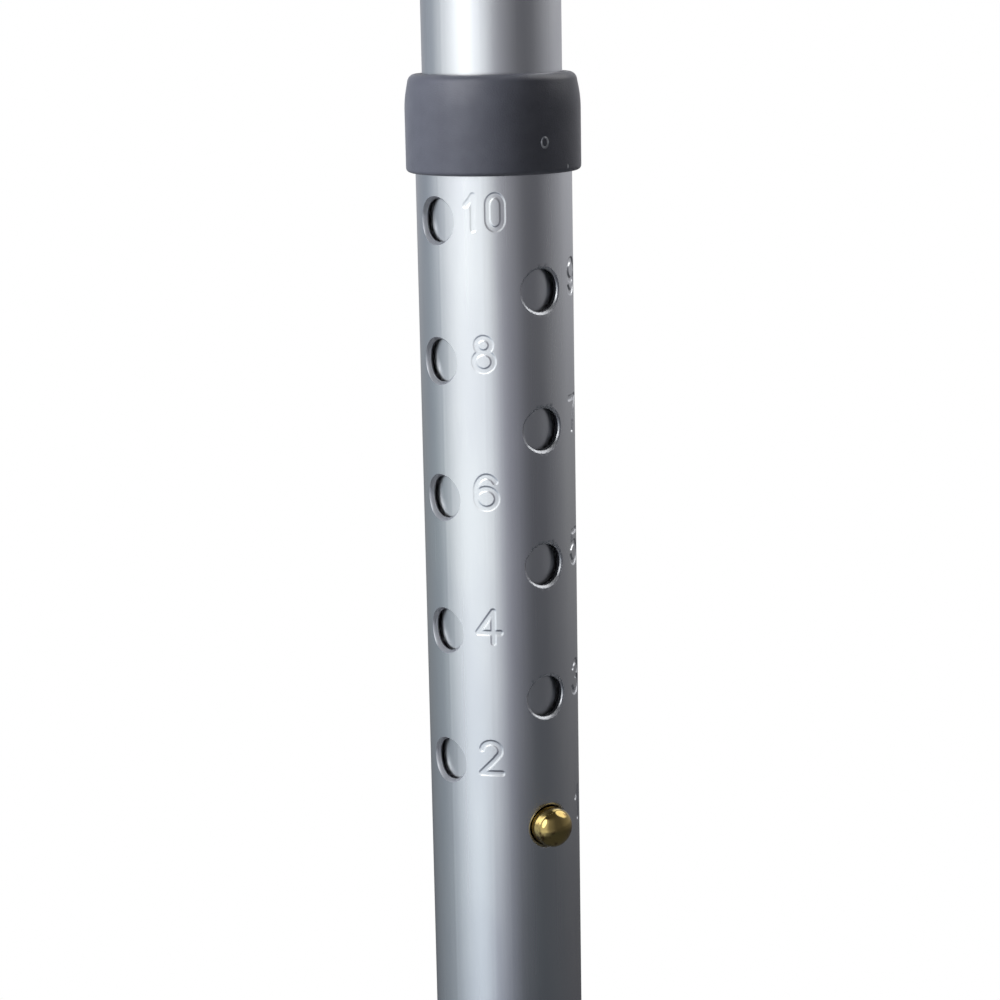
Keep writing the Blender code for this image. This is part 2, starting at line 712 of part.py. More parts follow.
def saddle_top(x):
    """Height of the saddle beam's top, a floor's thickness above the highest edge of a side tube."""
    tube_edge_x = TOP_HALF_SPAN - side_r * math.cos(top_tilt)
    tube_edge_z = side_top + side_r * math.sin(top_tilt)
    return tube_edge_z + CLEAR + SADDLE_FLOOR + hollow(x) - hollow(tube_edge_x)


def bend_to_saddle(made):
    """Bends a block that lies along X about height zero into the saddle's curve."""
    for point in made.data.vertices:
        point.co.z += saddle_top(point.co.x)


def rounded(made, width, segments):
    edge = made.modifiers.new("round", "BEVEL")
    edge.width = width
    edge.segments = segments
    edge.limit_method = "ANGLE"
    edge.angle_limit = math.radians(50)


def make_saddle():
    """Curved beam with a socket for each side tube, and two rows of ribbed pockets in its underside."""
    size = (SADDLE_LENGTH, SADDLE_WIDTH, SADDLE_GAUGE)
    saddle = box("underarm_saddle", size, (0, 0, -SADDLE_GAUGE / 2), crutch, dark_plastic, slices=13)
    bend_to_saddle(saddle)
    rounded(saddle, SADDLE_EDGE, 2)
    boss_r = side_r + CLEAR + SOCKET_WALL
    for side, sign in SIDES.items():
        boss = rods("socket_boss_" + side, [(socket_point(sign, SOCKET_DEPTH), socket_point(sign, 0.0))],
                    boss_r, ROUND)
        combine(saddle, boss, "UNION")
    for side, sign in SIDES.items():
        bore_foot = socket_point(sign, SOCKET_DEPTH + side_r)
        bore = rods("socket_bore_" + side, [(bore_foot, socket_point(sign, -CLEAR))], side_r + CLEAR, ROUND)
        combine(saddle, bore)
        middle = socket_point(sign, SOCKET_DEPTH / 2)
        combine(saddle, rods("socket_screw_" + side, [(middle, middle + Vector((0, -2 * SADDLE_WIDTH, 0)))],
                             SCREW_D / 2 + CLEAR, SMALL))
    zone = 2 * (socket_point(1, SOCKET_DEPTH).x - boss_r / math.cos(top_tilt) - SADDLE_SKIN)
    length = (zone - (POCKETS - 1) * RIB) / POCKETS
    width = (SADDLE_WIDTH - 2 * SADDLE_SKIN - RIB) / 2
    for column in range(POCKETS):
        x = -zone / 2 + length / 2 + column * (length + RIB)
        for row in (-1, 1):
            pocket = box("saddle_pocket_%d_%d" % (column, row), (length, width, SADDLE_GAUGE),
                         (x, row * (width + RIB) / 2, -SADDLE_SKIN - SADDLE_GAUGE / 2), cutters)
            bend_to_saddle(pocket)
            combine(saddle, pocket)
    return saddle


def make_saddle_screws():
    head = SCREW_HEAD_D / 2
    shank = SCREW_D / 2
    length = CLEAR + SOCKET_WALL + SIDE_WALL + SCREW_REACH
    steps = 4
    profile = [(0.0, SCREW_HEAD)]
    for i in range(1, steps + 1):
        angle = math.pi / 2 * i / steps
        profile.append((head * math.sin(angle), SCREW_HEAD * math.cos(angle)))
    profile += [(shank, 0.0), (shank, -length + SCREW_POINT), (0.0, -length)]
    for side, sign in SIDES.items():
        middle = socket_point(sign, SOCKET_DEPTH / 2)
        screw = turned("saddle_screw_" + side, profile, SMALL, crutch, zinc)
        screw.rotation_euler = (math.pi / 2, 0.0, 0.0)
        screw.location = middle + Vector((0, -(side_r + CLEAR + SOCKET_WALL + CLEAR), 0))


def make_cushion():
    """Foam cushion that slips down over the saddle beam and is open underneath."""
    tall = CUSHION_TOP + SADDLE_GAUGE
    size = (SADDLE_LENGTH + 2 * CUSHION_OVERHANG, SADDLE_WIDTH + 2 * CUSHION_SIDE, tall)
    cushion = box("underarm_cushion", size, (0, 0, CUSHION_TOP - tall / 2), crutch, foam, slices=11)
    bend_to_saddle(cushion)
    rounded(cushion, CUSHION_ROUND, 3)
    pocket_size = (SADDLE_LENGTH + 4 * CLEAR, SADDLE_WIDTH + 4 * CLEAR, 2 * SADDLE_GAUGE)
    pocket = box("cushion_pocket", pocket_size, (0, 0, 2 * CLEAR - SADDLE_GAUGE), cutters, slices=13)
    bend_to_saddle(pocket)
    return combine(cushion, pocket)


# ---------------------------------------------------------------- handgrip

def make_grip():
    core_end = GRIP_HALF_SPAN - CORE_SHORT
    flange_start = core_end - CORE_FLANGE
    core_r = CORE_D / 2
    flange_r = CORE_FLANGE_D / 2
    profile = [(bolt_hole_r, core_end), (flange_r - CORE_EDGE, core_end), (flange_r, core_end - CORE_EDGE)]
    profile += [(flange_r, flange_start), (core_r, flange_start)]
    profile += [(core_r, -flange_start), (flange_r, -flange_start)]
    profile += [(flange_r, CORE_EDGE - core_end), (flange_r - CORE_EDGE, -core_end), (bolt_hole_r, -core_end)]
    core = along_x(turned("grip_core", profile, ROUND, crutch, dark_plastic, ring=True), 0.0, grip_z)
    reach = 2 * flange_r
    for side, sign in SIDES.items():
        x = sign * GRIP_HALF_SPAN
        combine(core, rods("grip_saddle_" + side, [((x, 0, grip_z - reach), (x, 0, grip_z + reach))],
                           side_r + CLEAR, ROUND))

    half = flange_start - CLEAR
    sleeve_r = SLEEVE_D / 2
    inner = core_r + CLEAR
    edge = SLEEVE_EDGE
    profile = [(inner, half)] + arc(sleeve_r - edge, half - edge, edge, 90, 0, 3)
    steps = 10
    for i in range(1, steps):
        part = i / steps
        level = (half - edge) * (1 - 2 * part)
        profile.append((sleeve_r + SLEEVE_SWELL * math.sin(math.pi * part) ** 2, level))
    profile += arc(sleeve_r - edge, -half + edge, edge, 0, -90, 3) + [(inner, -half)]
    sleeve = along_x(turned("grip_sleeve", profile, ROUND, crutch, foam, ring=True), 0.0, grip_z)

    washer_inside = GRIP_HALF_SPAN + math.sqrt((side_r + CLEAR) ** 2 - (SADDLE_WASHER_D / 2) ** 2) + CLEAR
    washer_face = GRIP_HALF_SPAN + side_r + CLEAR + SADDLE_WASHER
    washers = []
    for side, sign in SIDES.items():
        rim = SADDLE_WASHER_D / 2
        thick = washer_face - washer_inside
        profile = [(rim - NUT_EDGE, thick), (rim, thick - NUT_EDGE), (rim, 0.0), (bolt_hole_r, 0.0)]
        profile += [(bolt_hole_r, thick)]
        washer = turned("grip_washer_" + side, profile, PLAIN, crutch, dark_plastic, ring=True)
        along_x(washer, sign * washer_inside, grip_z, sign)
        x = sign * GRIP_HALF_SPAN
        combine(washer, rods("washer_saddle_" + side, [((x, 0, grip_z - reach), (x, 0, grip_z + reach))],
                             side_r + CLEAR, ROUND))
        washers.append(washer)

    seat = washer_face + CLEAR
    length = 2 * seat + WING_BOSS + BOLT_TAIL
    bolt = along_x(turned("grip_bolt", bolt_profile(length), SMALL, crutch, zinc), -seat, grip_z, -1)
    nut = make_wing_nut()
    along_x(nut, seat, grip_z)
    axis = axis_empty("grip_axis", (0.0, 0.0, grip_z))
    parent_to(axis, core, sleeve, bolt, nut, *washers)


def wing_outline():
    """One wing, standing out from the boss and curling up to a round ear."""
    root = WING_BOSS_D / 2 - WING_ROOT
    line = [(root, WING_FOOT), (root + WING_EAR, WING_FOOT)]
    line += arc(WING_SPAN / 2 - WING_EAR, WING_HEIGHT - WING_EAR, WING_EAR, -25, 155, 8)
    line += [(root, WING_BOSS - BOLT_CHAMFER / 2)]
    return line


def make_wing_nut():
    boss = WING_BOSS_D / 2
    rim = 2 * BOLT_CHAMFER
    profile = [(0.0, WING_BOSS), (boss - WING_BOSS_TAPER, WING_BOSS), (boss, rim), (boss, 0.0), (0.0, 0.0)]
    nut = turned("wing_nut", profile, PLAIN, crutch, zinc)
    upright = Matrix.Rotation(math.pi / 2, 4, "X")
    for side, sign in SIDES.items():
        curve = bpy.data.curves.new("wing_" + side, "CURVE")
        curve.dimensions = "2D"
        curve.fill_mode = "BOTH"
        curve.extrude = WING_GAUGE / 2
        spline = curve.splines.new("POLY")
        outline = wing_outline()
        spline.points.add(len(outline) - 1)
        for point, (x, z) in zip(spline.points, outline):
            point.co = (sign * x, z, 0.0, 1.0)
        spline.use_cyclic_u = True
        guide = bpy.data.objects.new("wing_" + side, curve)
        cutters.objects.link(guide)
        wing = add_object("wing_" + side, welded_mesh(guide, upright), cutters)
        wing.parent = nut
        combine(nut, wing, "UNION")
    bore = turned("wing_nut_bore", [(0.0, 2 * WING_BOSS), (bolt_hole_r, 2 * WING_BOSS),
                                    (bolt_hole_r, -WING_BOSS), (0.0, -WING_BOSS)], SMALL, cutters)
    bore.parent = nut
    return combine(nut, bore)


# ---------------------------------------------------------------- build

empty_the_scene()
crutch = collection("underarm_crutch")
cutters = collection("cutters")

anodised = material("anodised_aluminium", (0.66, 0.69, 0.71), 0.32, 1.0)
dark_plastic = material("dark_grey_plastic", (0.075, 0.078, 0.088), 0.62)
rubber = material("grey_rubber", (0.10, 0.10, 0.105), 0.85)
foam = material("grey_foam", (0.13, 0.13, 0.14), 0.92)
nylon = material("white_nylon", (0.80, 0.80, 0.77), 0.45)
brass = material("polished_brass", (0.72, 0.50, 0.17), 0.18, 1.0)
zinc = material("zinc_plated_steel", (0.62, 0.63, 0.65), 0.30, 1.0)
spring_steel = material("spring_steel", (0.36, 0.37, 0.40), 0.35, 1.0)

leg_axis = axis_empty("leg_axis", (0.0, 0.0, 0.0))
parent_to(leg_axis, make_leg_tube(), make_collar(), make_ferrule(), make_ferrule_washer(), make_glide_ring())
make_centre_tube()
make_centre_cap()
make_snap_button()
make_button_spring()
make_side_tubes()
make_side_plugs()
make_spacers()
make_frame_bolts()
make_saddle()
make_saddle_screws()
make_cushion()
make_grip()

shading = edge_shading()
for piece in crutch.objects:
    if piece.type == "MESH":
        shade(piece, shading)
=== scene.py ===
"""Underarm crutch: finished surfaces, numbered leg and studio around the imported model.

Metres, +Z up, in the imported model's own frame. Angles round the leg are counted from -Y towards +X.
"""
import math

import bmesh
import bpy
import numpy as np
from mathutils import Matrix, Vector


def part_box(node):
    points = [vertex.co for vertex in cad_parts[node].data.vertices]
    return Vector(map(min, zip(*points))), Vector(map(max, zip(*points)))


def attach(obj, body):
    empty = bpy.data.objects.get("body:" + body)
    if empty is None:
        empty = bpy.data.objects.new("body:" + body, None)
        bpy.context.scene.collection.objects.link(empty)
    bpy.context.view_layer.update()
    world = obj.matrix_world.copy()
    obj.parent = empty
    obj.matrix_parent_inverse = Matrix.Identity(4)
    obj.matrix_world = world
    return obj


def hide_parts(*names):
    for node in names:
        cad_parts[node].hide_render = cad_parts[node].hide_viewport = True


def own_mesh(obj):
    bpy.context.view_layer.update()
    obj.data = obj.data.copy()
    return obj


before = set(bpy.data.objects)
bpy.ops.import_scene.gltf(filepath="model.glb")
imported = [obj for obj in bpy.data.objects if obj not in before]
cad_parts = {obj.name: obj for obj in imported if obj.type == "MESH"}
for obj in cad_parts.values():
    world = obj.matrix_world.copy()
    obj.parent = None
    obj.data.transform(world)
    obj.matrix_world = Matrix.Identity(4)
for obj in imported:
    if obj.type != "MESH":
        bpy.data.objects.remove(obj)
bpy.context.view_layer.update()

MM = 0.001
GAP = 0.3 * MM                  # between pieces that touch
HAIR = 0.01 * MM                # keeps two cuts from ending in one plane
CLEAR = 0.5 * MM                # how far a cutter stands clear of the metal
MERGE = 0.001 * MM              # points nearer than this are one
SHARP = math.radians(50)        # edges that turn by more than this can be rounded
TUBE_EASE = 0.3 * MM            # deburred end of a tube

# Numbered leg
POSITIONS = 10
PITCH = 12.7 * MM
TOP_HOLE_DROP = 8.1 * MM        # hole 10 below the collar
ROW_TURN = math.radians(83.5)   # odd row of holes to even row
HOLE_R = 3.90 * MM
HOLE_EASE = 0.50 * MM           # width of the soft lead-in that the punch leaves round a hole
HOLE_SINKS = (0.45 * MM, 0.95 * MM)     # its depth, in the odd and in the even row
LEG_WALL = 1.15 * MM
LEG_REACH = 8 * MM              # how far in the cutters of its holes reach
LEG_COLUMNS = 120               # of its mesh, all round
LEG_ROW = 0.75 * MM             # height of the mesh's rows
FINE_BELOW = 6 * MM             # rows start this far below hole 1
FINE_ABOVE = 2 * MM             # and end this far below the leg's top
END_BAND = 1 * MM               # of the leg, kept out of the pressing of numbers
ON_ROUND = 0.002 * MM           # a point this near the leg's radius counts as on it
NUMBER_ROWS = 13                # rows under a number
NUMBER_COLUMNS = 10
LAST_NUMBER_COLUMNS = 14        # under the two figures of 10
NUMBER_CUTS = 5                 # finer mesh under a number
NUMBER_TURN = math.radians(38.2)        # from a hole to its number
LAST_NUMBER_TURN = math.radians(2.3)    # a little further to 10
NUMBER_RISE = 1.7 * MM          # number's middle above the hole's
NUMBER_HALF_WIDTH = 6 * MM      # box that holds any number's grooves
NUMBER_HALF_HEIGHT = 5 * MM
FIGURE_HALF = 3.0 * MM          # half a figure's height, between the middles of its strokes
FIGURE_WIDE = 1.13              # the figures are a little extended
FIGURE_PAIR = (-0.82, 0.66)     # middles of the two figures of 10, in half heights
GROOVE_DEPTH = 0.08 * MM
ODD_DEPTH = 2.8                 # the odd numbers are struck this many times as deep
GROOVE_FLOOR = 0.30 * MM        # half width of a groove's floor
GROOVE_EDGE = 0.64 * MM         # half width of its mouth
DIE_LINES = ((-79.7, 2.6), (-44.4, 1.2))    # turn round the tube in degrees, height in grain heights
DIE_LINE_HALF = math.radians(2.2)

# Lead-in of a hole, outwards from its wall: shares of its width and of its depth. The last point stands
# clear of the metal
FLARE = ((0.0, -1.0), (0.35, -0.42), (1.0, 0.0), (3.0, 1.2))
HOLE_WALL = 1                   # material places on a tube
LEAD_IN = 2

# Snap button and its leaf spring
BUTTON_R = 3.7 * MM
BUTTON_SHOULDER = 1.6 * MM      # straight shank outside the leg, below the dome
FLANGE_R = 5.0 * MM
FLANGE = 1.0 * MM
RIVET_R = 1.5 * MM
RIVET_EASE = 0.2 * MM
SPRING_WIDTH = 8 * MM
SPRING_GAUGE = 0.5 * MM
SPRING_NOSE = 3.5 * MM          # radius of the leaf's bend
SPRING_RISE = 46 * MM
SPRING_SEAT = 6 * MM            # straight leaf above and below the button
SPRING_HEEL = 14 * MM           # straight foot of the back arm

# Collar
COLLAR_ROUND = 1.6 * MM
COLLAR_DRAW_IN = 0.6 * MM       # how much narrower the collar is at its top
COLLAR_SHOULDER = 6.5 * MM      # height over which it draws in
SHOULDER_STEPS = 12
COLLAR_FOOT = 0.8 * MM          # rounding of its lower edge
COLLAR_LEAD = 0.5 * MM          # lead-in of its mouth
GATE_TURN = math.radians(34.6)  # gate mark: turn from the camera's side
GATE_RISE = 5.6 * MM
GATE_R = 0.72 * MM
GATE_BEAD = 0.17 * MM           # half thickness of its rim
GATE_STRETCH = (0.95, 1.25, 1.0, 1.0)
SPECK_TURN = math.radians(56)   # speck of flash at the collar's foot
SPECK_RISE = 1.1 * MM
SPECK_R = 0.3 * MM
SPECK_SUNK = 0.1 * MM
SPECK_STRETCH = (0.7, 0.7, 1.5, 1.0)

# Ferrule
FERRULE_WALL = 3.6 * MM
FERRULE_NECK = 26 * MM          # height of its ringed neck
FERRULE_LIP = 1.2 * MM
FERRULE_FLOOR = 14 * MM
RINGS = 3
RING_OUT = 1.2 * MM             # how far a ring stands out
RING_HALF = 1.4 * MM            # half its height
RING_SIDE = 1.8 * MM            # from its middle to its fillets' upper ends
RING_FOOT = 2.3 * MM            # and to their lower ends, on the neck
RING_EASE = 0.15 * MM           # how far a fillet has come out at its upper end
FLARE_STEPS = 16
FLARE_FOOT = 12 * MM            # height where the flare meets the sole's rim
RIM_STEP = 1.0 * MM             # how far the rim stands out below the flare
RIM_HEIGHT = 10.3 * MM
RIM_ROUND = 0.7 * MM
SOLE_GROOVES = (4 * MM, 10 * MM)        # in from the foot's edge
SOLE_GROOVE = 2.5 * MM
SOLE_DEPTH = 1.5 * MM
SOLE_EASE = 0.4 * MM

# Tubes and fasteners
CENTRE_WALL = 1.3 * MM
CENTRE_REACH = 6 * MM           # how far in the cutters of the holes reach
SIDE_WALL = 1.2 * MM
SIDE_REACH = 4 * MM
BOLT_R = 3.0 * MM
BOLT_WAY = BOLT_R + GAP         # radius of every hole for a bolt
BOLT_HEAD_R = 6.5 * MM
BOLT_HEAD = 3.6 * MM
BOLT_RIM = 0.8 * MM
BOLT_RIM_EASE = 0.3 * MM
BOLT_POINT = 0.8 * MM           # chamfer of its end
BOLT_TAIL = 2.2 * MM
BOLT_EASE = 0.4 * MM            # deburred edge of a drilled hole
THREAD_LENGTH = 14 * MM
THREAD_PITCH = 1.0 * MM
THREAD_DEPTH = 0.45 * MM
THREAD_FORM = (0.125, 0.5, 0.625)       # shares of a pitch: end of the crest, start and end of the root
HEX_ACROSS = 4.0 * MM           # socket in a bolt's head
HEX_DEPTH = 2.6 * MM
NUT_ACROSS = 10.0 * MM
NUT_HEIGHT = 6.0 * MM
NUT_COLLAR = 1.8 * MM
NUT_COLLAR_R = 4.4 * MM
NUT_ROUND = 0.6 * MM
NUT_CHAMFER = math.radians(28)
SCREW_R = 2.0 * MM
SCREW_HEAD_R = 4.2 * MM
SCREW_HEAD = 2.6 * MM
SCREW_BITE = 6 * MM             # length past the tube's wall
SCREW_POINT = 3 * MM
SCREW_RIM = 0.2 * MM
CROSS_LIFT = 0.1 * MM           # middle of the cross recess above the head's top
CROSS_SIZE = (4.6 * MM, 0.95 * MM, 2.4 * MM)
CROSS_TURN = math.radians(25)
SPACER_HEIGHT = 20 * MM
SPACER_WIDTH = 15 * MM
SPACER_ROUND = 1.2 * MM
CAP_ROUND = 2.4 * MM            # soft edge of the cap and of the end plugs
CAP_MIDDLE = 4 * MM             # the cap's flat middle ends this far in from its edge
CAP_DOME = 0.15 * MM            # and this far below its top
CAP_DROP = 0.4 * MM             # fall from the cap's top to its soft edge
END_DROP = 0.2 * MM             # the same on an end plug
CAP_PLUG = 14 * MM              # how far the cap reaches into its tube
CAP_WALL = 2.0 * MM
END_PLUG = 12 * MM              # how far an end plug reaches in
END_CHAMFER = 1.5 * MM

# Side tubes' bends and the middles of their stretches
CLAMP_LENGTH = 112 * MM
SPLAY_RISE = 105 * MM
GRIP_HALF_SPAN = 64 * MM
GRIP_ZONE = 215 * MM
GRIP_HOLES = 7
GRIP_PITCH = 25.4 * MM
FIRST_GRIP_HOLE = 26 * MM
TOP_HALF_SPAN = 84 * MM
TOP_RISE = 182 * MM
SPLAY_BEND = 75 * MM
TOP_BEND = 220 * MM
BEND_STEPS = 14

# Underarm saddle
SADDLE_LENGTH = 204 * MM
SADDLE_WIDTH = 33 * MM
SADDLE_GAUGE = 13 * MM
SADDLE_RADIUS = 330 * MM
SADDLE_SKIN = 2.8 * MM
SADDLE_FLOOR = 3 * MM           # above the side tubes' ends
SADDLE_ROUND = 2.5 * MM
SADDLE_SLICES = 41
RIB = 2.2 * MM
POCKETS = 6
SOCKET_DEPTH = 34 * MM
SOCKET_WALL = 3.2 * MM
BOSS_ROUND = 0.8 * MM
POCKET_ROUND = 1.0 * MM

# Foam cushion, with heights from the saddle's top
CUSHION_LENGTH = 217 * MM
CUSHION_WIDTH = 49 * MM
CUSHION_TOP = 24 * MM
CUSHION_FOOT = -13 * MM
CUSHION_CORNER = 17 * MM        # of its outline from above
CUSHION_SOFT = 11 * MM          # rounding of its top edge
CUSHION_HEM = 3 * MM            # rounding of its lower edge
CUSHION_CROWN = 2.4 * MM        # fall of its top to the sides
CUSHION_DROOP = 1.2 * MM        # fall of its top to the ends
CUSHION_WAIST = 1.0 * MM        # how far its long sides pull in at the middle
CUSHION_LEAN = 1.3 * MM         # how far all sides pull in at the top and foot
CUSHION_COLUMNS = 74            # of its mesh, finer towards the ends
CUSHION_ROWS = 26
CUSHION_SLICES = (0.02, 0.05, 0.09, 0.14, 0.2, 0.27, 0.34, 0.39, 0.49, 0.54, 0.6, 0.66, 0.72, 0.78, 0.83,
                  0.88, 0.92, 0.95, 0.98)
PARTING = 3 * MM                # height of the mould's parting line
PARTING_DEPTH = 0.4 * MM
PARTING_HALF = 0.5 * MM
PARTING_CUTS = (-0.7 * MM, -0.35 * MM, 0.0, 0.35 * MM, 0.7 * MM)
CUSHION_POCKET_ROUND = 1.5 * MM

# Handgrip and wing nut
GRIP_GAP = 1.2 * MM             # from the core's end to the side tube's axis
GRIP_CORE_R = 9 * MM
GRIP_FLANGE_R = 13 * MM
GRIP_FLANGE = 15 * MM
GRIP_FLANGE_ROUND = 1.5 * MM
GRIP_SLEEVE_R = 16.5 * MM
SLEEVE_ROUND = 3 * MM
SLEEVE_LEAD = 0.6 * MM          # lead-in of its bore
GRIP_SWELL = 1.6 * MM           # belly of the sleeve
SWELL_STEPS = 40
WASHER_R = 7.5 * MM
WASHER = 1.8 * MM               # over the side tube's outermost line
WASHER_ROUND = 0.6 * MM
WING_BOSS_R = 6.25 * MM
WING_BOSS_ROUND = 0.6 * MM
WING_BOSS_SIDE = 1.6 * MM       # height of the boss's upright side
WING_BOSS_EASE = 0.3 * MM
WING_TAPER = 2.2 * MM           # how much narrower the boss is at its top
WING_HEIGHT = 8 * MM
WING_ROOT = 2.5 * MM            # how far a wing reaches into the boss
WING_FOOT = 1.2 * MM
WING_DIP = 0.4 * MM             # from the boss's top down to a wing's root
WING_EAR = 4.2 * MM             # radius of a wing's tip
WING_REACH = 16 * MM
WING_RISE = 15 * MM
WING_GAUGE = 3.2 * MM
WING_ROUND = 0.7 * MM

# Camera, fitted to the viewing angle
CAMERA_TURN = math.radians(-35.27)
CAMERA_AWAY = 410.25 * MM
CAMERA_ABOVE = 37.41 * MM       # above hole 10
CAMERA_PITCH = math.radians(-12.51)
CAMERA_ROLL = math.radians(-1.08)
CAMERA_LENS = 80.19

# What a mirror sees round the studio, at three heights. A row holds the height in degrees down to which it
# holds, the turns from the camera's side between which the white window wall stands, and the shades of the
# wall left of it, the window wall, the wall right of it, the black curtain and the wall behind the object
WALLS = [(-5, -72, -18, "#848b94", "#dcdfe3", "#8e8e93", "#58585c", "#9c9ca0"),
         (-12, -56, -12, "#848d93", "#e8ecef", "#90909a", "#4e4e52", "#6c6c6e"),
         (-23, -48, -36, "#80878e", "#c0c9d4", "#7e8290", "#42464a", "#444447")]
WALL_BLEND = 8                  # degrees of height over which a row turns into the next
FLOOR_AND_CEILING = (("#45474a", -28, -42), ("#4c4b48", 34, 56))    # shade, heights between which it comes in
# Round softboxes: turn from the camera's side, height, half width and soft edge in degrees, and strength
SOFTBOXES = [(-46, 28, 20, 5, 4.2), (112, 40, 24, 5, 2.3)]
GLOW = 1.45                     # strength of the walls and softboxes
FILL = "#46484d"                # what dull surfaces see all round
FLOOR_R = 530 * MM
FLOOR_FADE = (520 * MM, 280 * MM)       # clear outside the first, solid inside the second
FLOOR_GLOW = 0.12

UP = Vector((0, 0, 1))
FORWARD = Vector((0, -1, 0))
SIDES = {"left": -1, "right": 1}


def low(name):
    """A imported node's lowest corner."""
    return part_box(name)[0]


def high(name):
    """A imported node's highest corner."""
    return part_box(name)[1]


def middle_height(name):
    """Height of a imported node's middle."""
    return (low(name).z + high(name).z) / 2


leg_r = high("leg_tube").x
leg_foot = low("leg_tube").z
leg_top = high("leg_tube").z
collar_foot = low("leg_collar").z
collar_top = high("leg_collar").z
collar_r = high("leg_collar").x
centre_r = high("centre_tube").x
centre_foot = low("centre_tube").z
centre_top = high("centre_tube").z
hole_z = [collar_foot - TOP_HOLE_DROP - PITCH * (POSITIONS - number) for number in range(1, POSITIONS + 1)]
button_z = hole_z[0]
plug_low, plug_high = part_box("side_tube_plug_right")
side_r = (plug_high.x - plug_low.x) / 2
clamp_x = (plug_high.x + plug_low.x) / 2
frame_foot = low("side_tube_right").z
parallel_foot = frame_foot + CLAMP_LENGTH + SPLAY_RISE
parallel_top = parallel_foot + GRIP_ZONE
side_top = parallel_top + TOP_RISE
grip_z = middle_height("grip_bolt")
bolt_z = {level: middle_height("frame_bolt_" + level) for level in ("lower", "upper")}
top_tilt = math.atan2(TOP_HALF_SPAN - GRIP_HALF_SPAN, TOP_RISE)


# ---------------------------------------------------------------- materials

def colour(code):
    """An sRGB hex colour as linear red, green, blue and alpha."""
    parts = [int(code[i:i + 2], 16) / 255 for i in (1, 3, 5)]
    return [p / 12.92 if p <= 0.04045 else ((p + 0.055) / 1.055) ** 2.4 for p in parts] + [1.0]


def node(tree, kind, inputs=None, feeds=None, stops=(), **settings):
    """Adds a node and gives its outputs. An input that is a socket is linked, any other value is set, the
    first output is linked to the socket that it feeds, and stops are a colour ramp's."""
    made = tree.nodes.new(kind)
    for name, value in settings.items():
        setattr(made, name, value)
    for name, value in (inputs or {}).items():
        if isinstance(value, bpy.types.NodeSocket):
            tree.links.new(value, made.inputs[name])
        else:
            made.inputs[name].default_value = value
    for index, (place, shade) in enumerate(stops):
        elements = made.color_ramp.elements
        element = elements[index] if index < 2 else elements.new(place)
        element.position = place
        element.color = colour(shade)
    if feeds:
        tree.links.new(made.outputs[0], feeds)
    return made.outputs


def finish(name, base, roughness, metallic=0.0, **values):
    """A material with its plain values on the shader's own sockets: it, its tree and the shader's inputs."""
    made = bpy.data.materials.new(name)
    made.use_nodes = True
    shader = made.node_tree.nodes["Principled BSDF"].inputs
    shader["Base Color"].default_value = colour(base)
    shader["Roughness"].default_value = roughness
    shader["Metallic"].default_value = metallic
    for label, value in values.items():
        shader[label.replace("_", " ")].default_value = value
    return made, made.node_tree, shader


def grain_to(smooth, rough):
    """Map Range inputs that spread a noise's usual swing between two values."""
    return {"From Min": 0.3, "From Max": 0.7, "To Min": smooth, "To Max": rough}


def drawn_aluminium(name, smooth, rough):
    """Drawn, etched and clear-anodised tube: a soft silver sheen, fine lines along it and two die lines."""
    made, tree, shader = finish(name, "#dcdee0", rough, 1.0)
    along = node(tree, "ShaderNodeAttribute", attribute_name="drawn")["Vector"]
    line = 1 / (0.5 * MM)
    drawn = node(tree, "ShaderNodeMapping", {"Vector": along, "Scale": (line, line, 0.004 * line)})[0]
    lines = node(tree, "ShaderNodeTexNoise", {"Vector": drawn, "Scale": 1.0, "Detail": 3.0})[0]
    patch = 1 / (9 * MM)
    etched = node(tree, "ShaderNodeMapping", {"Vector": along, "Scale": (patch, patch, 0.3 * patch)})[0]
    mottle = node(tree, "ShaderNodeTexNoise", {"Vector": etched, "Scale": 1.0, "Detail": 3.0})[0]
    node(tree, "ShaderNodeValToRGB", {"Fac": mottle}, shader["Base Color"],
         [(0.35, "#d8dadd"), (0.65, "#e0e2e3")])
    node(tree, "ShaderNodeMapRange", {"Value": lines, **grain_to(smooth, rough)}, shader["Roughness"])
    parts = node(tree, "ShaderNodeSeparateXYZ", {0: along})
    away = node(tree, "ShaderNodeMath", {0: parts["Y"], 1: -1.0}, operation="MULTIPLY")[0]
    turn = node(tree, "ShaderNodeMath", {0: parts["X"], 1: away}, operation="ARCTAN2")[0]
    height = lines
    for place, rise in DIE_LINES:
        apart = node(tree, "ShaderNodeMath", {0: turn, 1: math.radians(place)}, operation="SUBTRACT")[0]
        near = node(tree, "ShaderNodeMath", {0: apart}, operation="ABSOLUTE")[0]
        ridge = node(tree, "ShaderNodeMapRange",
                     {"Value": near, "From Min": DIE_LINE_HALF, "From Max": 0.0, "To Max": rise},
                     interpolation_type="SMOOTHSTEP")[0]
        height = node(tree, "ShaderNodeMath", {0: height, 1: ridge}, operation="ADD")[0]
    node(tree, "ShaderNodeBump", {"Height": height, "Distance": 0.004 * MM}, shader["Normal"])
    return made


